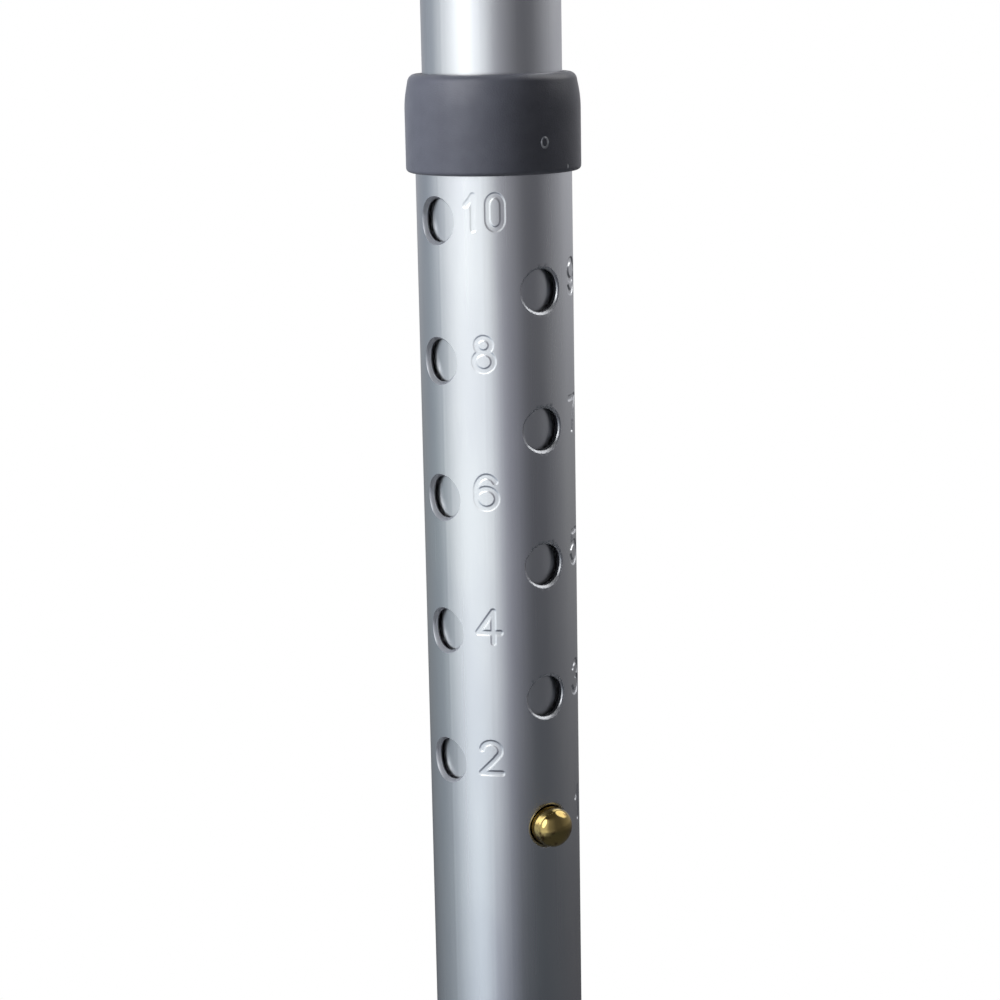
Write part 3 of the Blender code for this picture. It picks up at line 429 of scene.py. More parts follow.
def grained(name, base, roughness, metallic=0.0, tint=None, rough=None, relief=None, **values):
    """A material whose colour, roughness and relief follow noises. Each use of a noise is the size of its
    features, its detail, and what it gives: the ramp's stops, the roughness at both ends or a height."""
    made, tree, shader = finish(name, base, roughness, metallic, **values)
    place = node(tree, "ShaderNodeTexCoord")["Object"]
    for label, use in {"Base Color": tint, "Roughness": rough, "Normal": relief}.items():
        if not use:
            continue
        size, detail, given = use
        noise = node(tree, "ShaderNodeTexNoise", {"Vector": place, "Scale": 1 / size, "Detail": detail})[0]
        if label == "Base Color":
            node(tree, "ShaderNodeValToRGB", {"Fac": noise}, shader[label], given)
        elif label == "Roughness":
            node(tree, "ShaderNodeMapRange", {"Value": noise, **grain_to(*given)}, shader[label])
        else:
            node(tree, "ShaderNodeBump", {"Height": noise, "Distance": given}, shader[label])
    return made


def tempered_spring():
    """Hardened and tempered strip: blue-grey, with the rolling lines along it."""
    made, tree, shader = finish("tempered_spring_steel", "#7d8088", 0.33, 1.0)
    place = node(tree, "ShaderNodeTexCoord")["Object"]
    line = 1 / (0.2 * MM)
    rolled = node(tree, "ShaderNodeMapping", {"Vector": place, "Scale": (line, line, 0.02 * line)})[0]
    lines = node(tree, "ShaderNodeTexNoise", {"Vector": rolled, "Scale": 1.0})[0]
    temper = node(tree, "ShaderNodeTexNoise", {"Vector": place, "Scale": 1 / (3 * MM)})[0]
    node(tree, "ShaderNodeValToRGB", {"Fac": temper}, shader["Base Color"],
         [(0.35, "#747782"), (0.65, "#86888e")])
    node(tree, "ShaderNodeMapRange", {"Value": lines, **grain_to(0.28, 0.4)}, shader["Roughness"])
    return made


anodised = drawn_aluminium("satin_anodised_aluminium_tube", 0.235, 0.275)

# The same finish where the tubes have slid in one another: a little duller
rubbed = drawn_aluminium("rubbed_anodised_aluminium_tube", 0.28, 0.32)

# Lead-in round a hole: the torn metal's thick oxide is half dull, so that it glints softly
eased = grained("anodised_aluminium_hole_edge", "#c4c6ca", 0.38, 0.65, relief=(0.3 * MM, 2, 0.01 * MM))

# Torn wall of a punched hole: dull, with the punch's drag marks, and painted dark for the shade that falls
# inside the hole
punched = grained("punched_aluminium_hole_wall_painted_shade", "#3c3e42", 0.5, 1.0, relief=(0.2 * MM, 2, 0.03 * MM))

# Polypropylene moulded in a spark-eroded tool: dark grey with a fine, slightly glossy grain
plastic = grained("moulded_grey_polypropylene", "#66676e", 0.33, IOR=1.5, Specular_IOR_Level=0.42,
                  tint=(4 * MM, 2, [(0.35, "#64656c"), (0.65, "#6a6b72")]),
                  rough=(0.26 * MM, 3, (0.27, 0.4)), relief=(0.26 * MM, 3, 0.045 * MM))

# The same polypropylene, whitened where the gate was torn off
whitened = grained("stress_whitened_polypropylene", "#a9abb0", 0.4,
                   tint=(0.8 * MM, 2, [(0.35, "#74767c"), (0.65, "#d4d5d8")]),
                   relief=(0.8 * MM, 2, 0.03 * MM))

# Closed-cell foam with a moulded skin: soft pebbles and a dull, slightly chalky surface
foam = grained("skinned_grey_nitrile_foam", "#6a6c73", 0.85,
               tint=(3 * MM, 3, [(0.35, "#686a71"), (0.65, "#6d6f76")]),
               rough=(1.1 * MM, 4, (0.78, 0.92)), relief=(1.1 * MM, 4, 0.12 * MM))

# Natural rubber with carbon black: dark grey, dull, with a bloom of wax in patches
rubber = grained("moulded_dark_grey_rubber", "#3d3e41", 0.7,
                 tint=(9 * MM, 5, [(0.4, "#38393c"), (0.7, "#45464a")]),
                 rough=(0.5 * MM, 4, (0.6, 0.8)), relief=(0.5 * MM, 4, 0.04 * MM))

# Brass turned on an automatic lathe and tumbled bright: mirror-like, with small brown tarnish spots
brass = grained("tumbled_turned_brass", "#ab965f", 0.08, 1.0,
                tint=(1.3 * MM, 5, [(0.3, "#735a3a"), (0.42, "#af9a62")]),
                rough=(1.3 * MM, 5, (0.13, 0.05)), relief=(0.9 * MM, 2, 0.012 * MM))

# Steel with bright zinc plate and a blue passivate: a clear metal shine with a slight bloom
zinc = grained("bright_zinc_plated_steel", "#c6cacf", 0.22, 1.0,
               tint=(2.5 * MM, 4, [(0.35, "#b9bfc9"), (0.65, "#cfd0cd")]),
               rough=(2.5 * MM, 4, (0.18, 0.32)), relief=(0.3 * MM, 2, 0.006 * MM))

spring_steel = tempered_spring()

# Natural nylon: creamy white, half glossy, with a little depth
nylon = grained("moulded_natural_nylon", "#e6e4dc", 0.4, Subsurface_Weight=0.1, Subsurface_Scale=1 * MM,
                rough=(0.6 * MM, 2, (0.34, 0.46)), relief=(0.6 * MM, 2, 0.015 * MM))


# ---------------------------------------------------------------- shapes

def piece(name, bm, *finishes):
    """A mesh object at the origin."""
    data = bpy.data.meshes.new(name)
    bm.to_mesh(data)
    bm.free()
    for each in finishes:
        data.materials.append(each)
    made = bpy.data.objects.new(name, data)
    bpy.context.scene.collection.objects.link(made)
    return made


def shaded(made, limit=30):
    """Smooth shading that keeps edges crisp where they turn by more than the limit, in degrees."""
    made.data.shade_smooth()
    made.data.set_sharp_from_angle(angle=math.radians(limit))
    return made


def placed(made, body, slot, *nodes):
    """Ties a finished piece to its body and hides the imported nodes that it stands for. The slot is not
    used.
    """
    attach(made, body)
    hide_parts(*nodes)
    return made


def arc(x, z, rx, rz, start, end, steps):
    """Points on an ellipse from the angle start to end, in degrees."""
    turns = [math.radians(start + (end - start) * i / steps) for i in range(steps + 1)]
    return [(x + rx * math.cos(a), z + rz * math.sin(a)) for a in turns]


def corner(x, z, radius, start, end, steps=6):
    """Points on a circle round a middle, for a rounded corner."""
    return arc(x, z, radius, radius, start, end, steps)


def only(kind, items):
    """The items of one kind out of what a mesh operator gives back."""
    return [item for item in items if isinstance(item, kind)]


def spun(profile, steps, ring=False, place=None):
    """A profile of (radius, height) spun once round Z, then put in place."""
    bm = bmesh.new()
    line = [bm.verts.new((r, 0.0, z)) for r, z in profile]
    edges = [bm.edges.new(pair) for pair in zip(line, line[1:])]
    if ring:
        edges.append(bm.edges.new((line[-1], line[0])))
    bmesh.ops.spin(bm, geom=line + edges, cent=(0, 0, 0), axis=(0, 0, 1), angle=math.tau, steps=steps,
                   use_merge=True)
    bmesh.ops.remove_doubles(bm, verts=bm.verts, dist=MERGE)
    bmesh.ops.recalc_face_normals(bm, faces=bm.faces)
    if place:
        bmesh.ops.transform(bm, matrix=place, verts=bm.verts)
    return bm


def along_x(x, z, outward=1):
    """Lays a turned shape along X, with its top pointing outward."""
    return Matrix.Translation((x, 0, z)) @ Matrix.Rotation(outward * math.pi / 2, 4, "Y")


def towards_front(spot):
    """Lays a turned shape along -Y at a spot."""
    return Matrix.Translation(spot) @ Matrix.Rotation(math.pi / 2, 4, "X")


def outward_at(turn):
    """The way outward at a turn round the leg."""
    return Vector((math.sin(turn), -math.cos(turn), 0))


def facing(outward):
    """Turns a shape's top outward, with its Y still up."""
    return Matrix((UP.cross(outward), UP, outward)).transposed().to_4x4()


def applied(made):
    """Makes the piece's modifiers part of its mesh."""
    bpy.context.view_layer.update()
    data = bpy.data.meshes.new_from_object(made.evaluated_get(bpy.context.evaluated_depsgraph_get()))
    made.modifiers.clear()
    old = made.data
    made.data = data
    bpy.data.meshes.remove(old)
    data.name = made.name
    return made


def cut(made, cutter, operation="DIFFERENCE"):
    """Cuts a closed mesh out of a piece, or joins it to it, and keeps the result as the piece's mesh."""
    step = made.modifiers.new(cutter.name, "BOOLEAN")
    step.operation = operation
    step.solver = "EXACT"
    step.material_mode = "TRANSFER"
    step.object = cutter
    applied(made)
    bpy.data.objects.remove(cutter, do_unlink=True)
    return made


def rounded(made, width, segments=4):
    """Rounds a piece's sharp edges."""
    edge = made.modifiers.new("round", "BEVEL")
    edge.width = width
    edge.segments = segments
    edge.limit_method = "ANGLE"
    edge.angle_limit = SHARP
    return applied(made)


def rod(name, start, end, radius, sides, surface):
    """A plain round rod from one point to another."""
    bm = bmesh.new()
    line = Vector(end) - Vector(start)
    turn = line.to_track_quat("Z", "Y").to_matrix().to_4x4()
    place = Matrix.Translation(Vector(start) + line / 2) @ turn
    bmesh.ops.create_cone(bm, cap_ends=True, segments=sides, radius1=radius, radius2=radius,
                          depth=line.length, matrix=place)
    return piece(name, bm, surface)


def bored(made, start, end, radius, sides, surface):
    """Cuts a round hole into a piece, from one point to another."""
    return cut(made, rod("drill", start, end, radius, sides, surface))


def hexagon(name, across, foot, top, place, surface):
    """A six-sided bar between two heights, then put in place."""
    bm = bmesh.new()
    radius = across / math.sqrt(3)
    bmesh.ops.create_cone(bm, cap_ends=True, segments=6, radius1=radius, radius2=radius, depth=top - foot,
                          matrix=place @ Matrix.Translation((0, 0, (foot + top) / 2)))
    return piece(name, bm, surface)


def block(size, middle, slices=0):
    """A block. With slices it is cut across its length, so that it can be bent."""
    bm = bmesh.new()
    bmesh.ops.create_cube(bm, size=1.0, matrix=Matrix.Diagonal((*size, 1.0)))
    if slices:
        long_edges = [edge for edge in bm.edges if abs(edge.verts[0].co.x - edge.verts[1].co.x) > size[0] / 2]
        bmesh.ops.subdivide_edges(bm, edges=long_edges, cuts=slices, use_grid_fill=True)
    bmesh.ops.translate(bm, verts=bm.verts, vec=middle)
    return bm


def flared_cutter(name, mouths, tube_r, hole_r, ease, depth, steps=64):
    """Round cutters whose flare keeps to an upright tube's outside. A mouth is the middle of the tube, the
    way outward and the flare's depth."""
    bm = bmesh.new()
    for middle, outward, sink in mouths:
        loop = bmesh.ops.create_circle(bm, segments=steps, radius=hole_r)["verts"]
        whole = list(loop)
        edges = list({edge for vert in loop for edge in vert.link_edges})
        rings = [(0.0, -depth)] + [(ease * wide, sink * rise) for wide, rise in FLARE]
        bmesh.ops.holes_fill(bm, edges=edges, sides=0)
        for index, (wider, higher) in enumerate(rings):
            for vert in loop:
                flat = vert.co.xy.normalized() * (hole_r + wider)
                fall = 0.0 if index == 0 else tube_r - math.sqrt(tube_r ** 2 - flat.x ** 2)
                vert.co = Vector((flat.x, flat.y, tube_r - fall + higher))
            if index < len(rings) - 1:
                grown = bmesh.ops.extrude_edge_only(bm, edges=edges)["geom"]
                edges = only(bmesh.types.BMEdge, grown)
                loop = only(bmesh.types.BMVert, grown)
                # A hole's wall takes the material painted dark for the shade inside the hole, the rest the
                # lead-in's
                for face in only(bmesh.types.BMFace, grown):
                    face.material_index = HOLE_WALL if index == 0 else LEAD_IN
                whole += loop
        bmesh.ops.holes_fill(bm, edges=edges, sides=0)
        bmesh.ops.transform(bm, matrix=Matrix.Translation(middle) @ facing(outward), verts=whole)
    bmesh.ops.recalc_face_normals(bm, faces=bm.faces)
    return piece(name, bm, anodised, punched, eased)


def mark_drawing(made, path):
    """Stores every point's place as it would be if the tube were straight, which the die lines follow."""
    points = np.array([vert.co for vert in made.data.vertices])
    path = np.array([tuple(point) for point in path])
    along = path[1:] - path[:-1]
    length = np.linalg.norm(along, axis=1)
    share = ((points[:, None] - path[None, :-1]) * along).sum(2) / length ** 2
    foot = path[None, :-1] + np.clip(share, 0, 1)[..., None] * along
    away = points[:, None] - foot
    best = (away ** 2).sum(2).argmin(1)
    rows = np.arange(len(points))
    side = np.cross((0, 1, 0), along / length[:, None])
    travel = np.concatenate([[0], np.cumsum(length)])[best] + np.clip(share[rows, best], 0, 1) * length[best]
    across = (away[rows, best] * side[best]).sum(1)
    straight = np.column_stack([across, points[:, 1], travel])
    marks = made.data.attributes.new("drawn", "FLOAT_VECTOR", "POINT")
    marks.data.foreach_set("vector", straight.astype(np.float32).ravel())


# ---------------------------------------------------------------- numbers

def strokes(figure):
    """Middle lines of a plain numeral's strokes, in half heights: x to the right, y up, from -1 to 1."""
    if figure == "0":
        return [arc(0, 0.42, 0.40, 0.58, 0, 180, 14) + arc(0, -0.42, 0.40, 0.58, 180, 360, 14)
                + [(0.40, 0.42)]]
    if figure == "1":
        return [[(0.13, -1.0), (0.13, 1.0), (-0.04, 0.70), (-0.27, 0.44)]]
    if figure == "2":
        return [arc(-0.02, 0.47, 0.52, 0.53, 170, -25, 14) + [(0.20, -0.10), (-0.57, -1.0), (0.57, -1.0)]]
    if figure == "3":
        return [arc(-0.03, 0.53, 0.46, 0.47, 160, -90, 14), arc(-0.03, -0.47, 0.56, 0.53, 90, -165, 16)]
    if figure == "4":
        return [[(0.24, -1.0), (0.24, 1.0), (-0.62, -0.37), (0.62, -0.37)]]
    if figure == "5":
        return [[(0.48, 1.0), (-0.36, 1.0), (-0.50, 0.02)] + arc(-0.02, -0.36, 0.57, 0.64, 135, -165, 18)]
    if figure == "6":
        return [arc(0.0, -0.38, 0.58, 0.62, 0, 360, 26), arc(0.03, 0.05, 0.61, 0.95, 200, 40, 14)]
    if figure == "7":
        return [[(-0.57, 1.0), (0.57, 1.0), (0.18, 0.35), (-0.06, -0.35), (-0.16, -1.0)]]
    if figure == "8":
        return [arc(0, 0.56, 0.40, 0.44, 0, 360, 22), arc(0, -0.44, 0.53, 0.56, 0, 360, 26)]
    return [arc(0.0, 0.38, 0.58, 0.62, 0, 360, 26), arc(-0.03, -0.05, 0.61, 0.95, 20, -140, 14)]


def number_lines(number):
    """Stroke segments of a whole number in metres, about its middle."""
    text = str(number)
    starts = (0.0,) if len(text) == 1 else FIGURE_PAIR
    lines = []
    for figure, start in zip(text, starts):
        for line in strokes(figure):
            points = [((x * FIGURE_WIDE + start) * FIGURE_HALF, y * FIGURE_HALF) for x, y in line]
            lines += list(zip(points, points[1:]))
    return np.array(lines)


def hole_angle(number):
    """Turn round the leg to a numbered hole: odd holes in front, even ones in the second row."""
    return 0.0 if number % 2 else -ROW_TURN


def number_place(number):
    """Angle and height of a number's middle."""
    turn = hole_angle(number) + NUMBER_TURN + (LAST_NUMBER_TURN if number == POSITIONS else 0.0)
    return turn, hole_z[number - 1] + NUMBER_RISE


def groove(points, lines):
    """How far each point sinks: a round-shouldered groove along every stroke."""
    start = lines[:, 0][None]
    along = lines[:, 1][None] - start
    share = ((points[:, None] - start) * along).sum(2) / (along ** 2).sum(2)
    nearest = start + along * np.clip(share, 0, 1)[..., None]
    away = np.linalg.norm(points[:, None] - nearest, axis=2).min(1)
    rise = np.clip((away - GROOVE_FLOOR) / (GROOVE_EDGE - GROOVE_FLOOR), 0, 1)
    return GROOVE_DEPTH * (1 - rise * rise * (3 - 2 * rise))


# ---------------------------------------------------------------- telescoping leg

def outside_face(face):
    """Tells whether a face lies on the leg's outside and not on its ends."""
    return face.calc_center_median().xy.length > leg_r - LEG_WALL / 2 and abs(face.normal.z) < 0.5


def straight_tube(outer, wall, foot, top, rows=()):
    """Profile of a straight tube with deburred ends, for spinning. Rows are heights of extra rings."""
    profile = [(outer - TUBE_EASE, top), (outer, top - TUBE_EASE)] + [(outer, level) for level in rows]
    profile += [(outer, foot + TUBE_EASE), (outer - TUBE_EASE, foot)]
    return profile + [(outer - wall, foot), (outer - wall, top)]


def make_leg_tube():
    """Outer leg with its two rows of punched holes and the figures struck beside them."""
    first_row = hole_z[0] - FINE_BELOW
    last_row = math.floor((leg_top - FINE_ABOVE - first_row) / LEG_ROW)
    rows = [first_row + LEG_ROW * row for row in range(last_row, -1, -1)]
    bm = spun(straight_tube(leg_r, LEG_WALL, leg_foot, leg_top, rows), LEG_COLUMNS, ring=True)
    column = math.tau / LEG_COLUMNS
    for number in range(1, POSITIONS + 1):
        turn, level = number_place(number)
        columns = LAST_NUMBER_COLUMNS if number == POSITIONS else NUMBER_COLUMNS
        left = round(turn / column - columns / 2)
        foot = round((level - first_row) / LEG_ROW - NUMBER_ROWS / 2)
        under = []
        for face in bm.faces:
            middle = face.calc_center_median()
            row = math.floor((middle.z - first_row) / LEG_ROW)
            place = math.floor(math.atan2(middle.x, -middle.y) / column)
            if foot <= row < foot + NUMBER_ROWS and left <= place < left + columns and outside_face(face):
                under.append(face)
        edges = list({edge for face in under for edge in face.edges})
        bmesh.ops.subdivide_edges(bm, edges=edges, cuts=NUMBER_CUTS, use_grid_fill=True)
    press_numbers(bm)
    leg = piece("numbered_leg_tube", bm, anodised, punched, eased)
    mouths = []
    for number in range(1, POSITIONS + 1):
        outward = outward_at(hole_angle(number))
        mouths.append((UP * hole_z[number - 1], outward, HOLE_SINKS[(number - 1) % 2]))
    cut(leg, flared_cutter("numbered_holes", mouths, leg_r, HOLE_R, HOLE_EASE, LEG_REACH))
    mark_drawing(leg, [(0, 0, leg_foot), (0, 0, leg_top)])
    shaded(leg)
    set_round_normals(leg)
    return placed(leg, "leg", "anodised_aluminium", "leg_tube")


def press_numbers(bm):
    """Rounds the finer patches to the tube's radius and sinks the numbers' strokes into them."""
    outer = [vert for vert in bm.verts if vert.co.xy.length > leg_r - LEG_WALL / 4
             and leg_foot + END_BAND < vert.co.z < leg_top - END_BAND]
    points = np.array([vert.co for vert in outer])
    turns = np.arctan2(points[:, 0], -points[:, 1])
    sunk = np.zeros(len(points))
    for number in range(1, POSITIONS + 1):
        turn, level = number_place(number)
        flat = np.column_stack([(turns - turn) * leg_r, points[:, 2] - level])
        near = (np.abs(flat[:, 0]) < NUMBER_HALF_WIDTH) & (np.abs(flat[:, 1]) < NUMBER_HALF_HEIGHT)
        deeper = ODD_DEPTH if number % 2 else 1.0
        sunk[near] = np.maximum(sunk[near], deeper * groove(flat[near], number_lines(number)))
    for vert, depth in zip(outer, sunk):
        scale = (leg_r - depth) / vert.co.xy.length
        vert.co.x *= scale
        vert.co.y *= scale


def set_round_normals(made):
    """Points the plain outer faces' normals straight out, so that the tube reflects as a true cylinder."""
    data = made.data
    points = np.array([vert.co for vert in data.vertices])
    radius = np.hypot(points[:, 0], points[:, 1])
    plain = np.abs(radius - leg_r) < ON_ROUND
    normals = np.zeros((len(data.loops), 3))
    for face in data.polygons:
        ends = list(face.vertices)
        if plain[ends].all():
            for loop, vert in zip(face.loop_indices, ends):
                normals[loop] = (points[vert][0] / radius[vert], points[vert][1] / radius[vert], 0)
    data.normals_split_custom_set(normals.tolist())


def make_collar():
    """Moulded guide collar that grips the leg's top and lets the centre tube slide."""
    mouth = centre_r + GAP
    socket = leg_r + GAP
    top_r = collar_r - COLLAR_DRAW_IN
    profile = [(mouth + COLLAR_LEAD, collar_top)]
    profile += corner(top_r - COLLAR_ROUND, collar_top - COLLAR_ROUND, COLLAR_ROUND, 90, 10, 10)
    for i in range(1, SHOULDER_STEPS + 1):
        left = 1 - i / SHOULDER_STEPS
        drop = COLLAR_ROUND + (COLLAR_SHOULDER - COLLAR_ROUND) * (1 - left)
        profile.append((collar_r - COLLAR_DRAW_IN * left ** 2, collar_top - drop))
    profile += corner(collar_r - COLLAR_FOOT, collar_foot + COLLAR_FOOT, COLLAR_FOOT, 0, -90, 6)
    profile += [(socket, collar_foot), (socket, leg_top + GAP), (mouth, leg_top + GAP)]
    profile += [(mouth, collar_top - COLLAR_LEAD)]
    collar = shaded(piece("leg_collar_moulding", spun(profile, 128, ring=True), plastic))
    return placed(collar, "leg", "dark_grey_plastic", "leg_collar")


def make_gate_mark():
    """Oval rim, whitened by stress, that the mould's pin gate leaves on the collar, and a speck of flash."""
    outward = outward_at(CAMERA_TURN + GATE_TURN)
    spot = outward * collar_r + UP * (collar_foot + GATE_RISE)
    place = Matrix.Translation(spot) @ facing(outward) @ Matrix.Diagonal(GATE_STRETCH)
    ring = spun(corner(GATE_R, 0, GATE_BEAD, 0, 330, 11), 24, True, place)
    rim = shaded(piece("collar_gate_mark", ring, whitened))
    outward = outward_at(CAMERA_TURN + SPECK_TURN)
    spot = outward * (collar_r - SPECK_SUNK) + UP * (collar_foot + SPECK_RISE)
    place = Matrix.Translation(spot) @ Matrix.Diagonal(SPECK_STRETCH)
    bm = bmesh.new()
    bmesh.ops.create_icosphere(bm, subdivisions=3, radius=SPECK_R, matrix=place)
    placed(shaded(piece("collar_flash_speck", bm, whitened)), "leg", "dark_grey_plastic")
    return placed(rim, "leg", "dark_grey_plastic")


def make_centre_tube():
    """Inner tube, drilled for the snap button in front and for the clamp bolts from side to side."""
    profile = straight_tube(centre_r, CENTRE_WALL, centre_foot, centre_top)
    tube = piece("centre_adjusting_tube", spun(profile, 120, ring=True), rubbed, punched, eased)
    mouths = [(UP * button_z, FORWARD, BOLT_EASE)]
    cut(tube, flared_cutter("button_hole", mouths, centre_r, HOLE_R, BOLT_EASE, CENTRE_REACH))
    mouths = [(UP * level, Vector((sign, 0, 0)), BOLT_EASE) for level in bolt_z.values() for sign in (-1, 1)]
    cut(tube, flared_cutter("bolt_holes", mouths, centre_r, BOLT_WAY, BOLT_EASE, CENTRE_REACH, 40))
    mark_drawing(tube, [(0, 0, centre_foot), (0, 0, centre_top)])
    return placed(shaded(tube), "frame", "anodised_aluminium", "centre_tube")


def button_seat():
    """Distance from the leg's axis to the button flange's outer face."""
    return math.sqrt((centre_r - CENTRE_WALL) ** 2 - FLANGE_R ** 2) - GAP


def make_snap_button():
    """Domed button with a flange inside the tube and a rivet through the leaf behind it."""
    seat = button_seat()
    tip = -low("snap_button").y
    shoulder = leg_r + BUTTON_SHOULDER
    profile = arc(0, shoulder, BUTTON_R, tip - shoulder, 90, 0, 28)
    profile[0] = (0.0, tip)
    profile += [(BUTTON_R, seat), (FLANGE_R, seat), (FLANGE_R, seat - FLANGE), (RIVET_R, seat - FLANGE)]
    rivet = -high("snap_button").y
    profile += [(RIVET_R, rivet + RIVET_EASE), (RIVET_R - RIVET_EASE, rivet), (0.0, rivet)]
    place = towards_front((0, 0, button_z))
    button = placed(shaded(piece("brass_snap_button", spun(profile, 72, place=place), brass)),
                    "button", "polished_brass", "snap_button")
    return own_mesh(button)


def make_button_spring():
    """V-shaped leaf inside the centre tube: its front arm carries the button."""
    half = SPRING_WIDTH / 2
    arm = button_seat() - FLANGE - GAP - SPRING_GAUGE / 2
    back = math.sqrt((centre_r - CENTRE_WALL) ** 2 - half ** 2) - GAP - SPRING_GAUGE
    foot = button_z - SPRING_SEAT
    line = [(-arm, foot), (-arm, button_z + SPRING_SEAT)]
    line += corner(0, foot + SPRING_RISE - SPRING_NOSE, SPRING_NOSE, 180, 0, 14)
    line += [(back, foot + SPRING_HEEL), (back, foot)]
    bm = bmesh.new()
    points = [bm.verts.new((-half, y, z)) for y, z in line]
    edges = [bm.edges.new(pair) for pair in zip(points, points[1:])]
    grown = bmesh.ops.extrude_edge_only(bm, edges=edges)["geom"]
    bmesh.ops.translate(bm, verts=only(bmesh.types.BMVert, grown), vec=(SPRING_WIDTH, 0, 0))
    spring = piece("button_leaf_spring", bm, spring_steel)
    leaf = spring.modifiers.new("gauge", "SOLIDIFY")
    leaf.thickness = SPRING_GAUGE
    leaf.offset = 0.0
    applied(spring)
    bored(spring, (0, 0, button_z), (0, -centre_r, button_z), RIVET_R + GAP, 32, spring_steel)
    placed(shaded(spring), "frame", "spring_steel", "button_spring")
    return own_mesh(spring)


def make_ferrule():
    """Rubber tip: a ringed neck, a flare and a grooved sole."""
    bore = leg_r + GAP
    neck = bore + FERRULE_WALL
    foot = high("ferrule").x
    height = high("ferrule").z
    neck_foot = height - FERRULE_NECK
    lip = FERRULE_LIP
    profile = [(0.0, FERRULE_FLOOR), (bore, FERRULE_FLOOR), (bore, height - lip)]
    profile += corner(bore + lip, height - lip, lip, 180, 90, 5)
    profile += corner(neck - lip, height - lip, lip, 90, 0, 6)
    for ring in range(1, RINGS + 1):
        level = height - FERRULE_NECK * ring / (RINGS + 1)
        profile += [(neck, level + RING_FOOT), (neck + RING_EASE, level + RING_SIDE)]
        profile += arc(neck, level, RING_OUT, RING_HALF, 65, -65, 10)
        profile += [(neck + RING_EASE, level - RING_SIDE), (neck, level - RING_FOOT)]
    for i in range(1, FLARE_STEPS + 1):
        part = i / FLARE_STEPS
        ease = part * part * (3 - 2 * part)
        wide = neck + (foot - RIM_STEP - neck) * ease
        profile.append((wide, neck_foot + (FLARE_FOOT - neck_foot) * part))
    profile += corner(foot - RIM_ROUND, RIM_HEIGHT - RIM_ROUND, RIM_ROUND, 90, 0, 4)
    profile += corner(foot - lip, lip, lip, 0, -90, 6)
    soft = SOLE_EASE
    for groove_start in SOLE_GROOVES:
        outer = foot - groove_start
        inner = outer - SOLE_GROOVE
        profile += [(outer + soft, 0.0), (outer, soft), (outer - soft / 2, SOLE_DEPTH)]
        profile += [(inner + soft / 2, SOLE_DEPTH), (inner, soft), (inner - soft, 0.0)]
    profile += [(0.0, 0.0)]
    ferrule = shaded(piece("rubber_ferrule", spun(profile, 128), rubber), 40)
    return placed(ferrule, "leg", "grey_rubber", "ferrule")


# ---------------------------------------------------------------- frame

def bent_path(corners, bends):
    """A line through corners in the XZ plane, with each inner corner rounded to its bend radius."""
    path = [Vector(corners[0])]
    for before, corner_point, after, bend in zip(corners, corners[1:], corners[2:], bends):
        spot = Vector(corner_point)
        back = (Vector(before) - spot).normalized()
        ahead = (Vector(after) - spot).normalized()
        half = back.angle(ahead) / 2
        centre = spot + (back + ahead).normalized() * (bend / math.sin(half))
        start = spot + back * (bend / math.tan(half)) - centre
        end = spot + ahead * (bend / math.tan(half)) - centre
        for i in range(BEND_STEPS + 1):
            path.append(centre + start.slerp(end, i / BEND_STEPS, start) * bend)
    path.append(Vector(corners[-1]))
    return path


def side_path(sign):
    """Middle line of a side tube: clamped end, splay, stretch with the grip holes and upper stretch."""
    corners = [(sign * clamp_x, 0, frame_foot), (sign * clamp_x, 0, frame_foot + CLAMP_LENGTH),
               (sign * GRIP_HALF_SPAN, 0, parallel_foot), (sign * GRIP_HALF_SPAN, 0, parallel_top),
               (sign * TOP_HALF_SPAN, 0, side_top)]
    return bent_path(corners, [SPLAY_BEND, SPLAY_BEND, TOP_BEND])


def stations(path):
    """A frame at each point of a path in the XZ plane, halfway between the directions on both sides."""
    steps = [(b - a).normalized() for a, b in zip(path, path[1:])]
    ahead = [steps[0]] + [(a + b).normalized() for a, b in zip(steps, steps[1:])] + [steps[-1]]
    made = []
    for point, way in zip(path, ahead):
        lean = Matrix(((way.z, 0, way.x), (0, 1, 0), (-way.x, 0, way.z))).to_4x4()
        made.append(Matrix.Translation(point) @ lean)
    return made


def swept_tube(name, path, radius, wall, sides, *finishes):
    """A tube along a path: its outside is drawn ring by ring, then given its wall inwards."""
    bm = bmesh.new()
    frames = stations(path)
    verts = bmesh.ops.create_circle(bm, segments=sides, radius=radius, matrix=frames[0])["verts"]
    edges = list({edge for vert in verts for edge in vert.link_edges})
    for here, there in zip(frames, frames[1:]):
        grown = bmesh.ops.extrude_edge_only(bm, edges=edges)["geom"]
        edges = only(bmesh.types.BMEdge, grown)
        verts = only(bmesh.types.BMVert, grown)
        bmesh.ops.transform(bm, matrix=there @ here.inverted(), verts=verts)
    bmesh.ops.recalc_face_normals(bm, faces=bm.faces)
    bmesh.ops.solidify(bm, geom=bm.faces[:], thickness=wall)
    return piece(name, bm, *finishes)


def socket_point(sign, below):
    """A point on a side tube's axis, a distance below its upper end."""
    inward = below * math.sin(top_tilt)
    return Vector((sign * (TOP_HALF_SPAN - inward), 0.0, side_top - below * math.cos(top_tilt)))


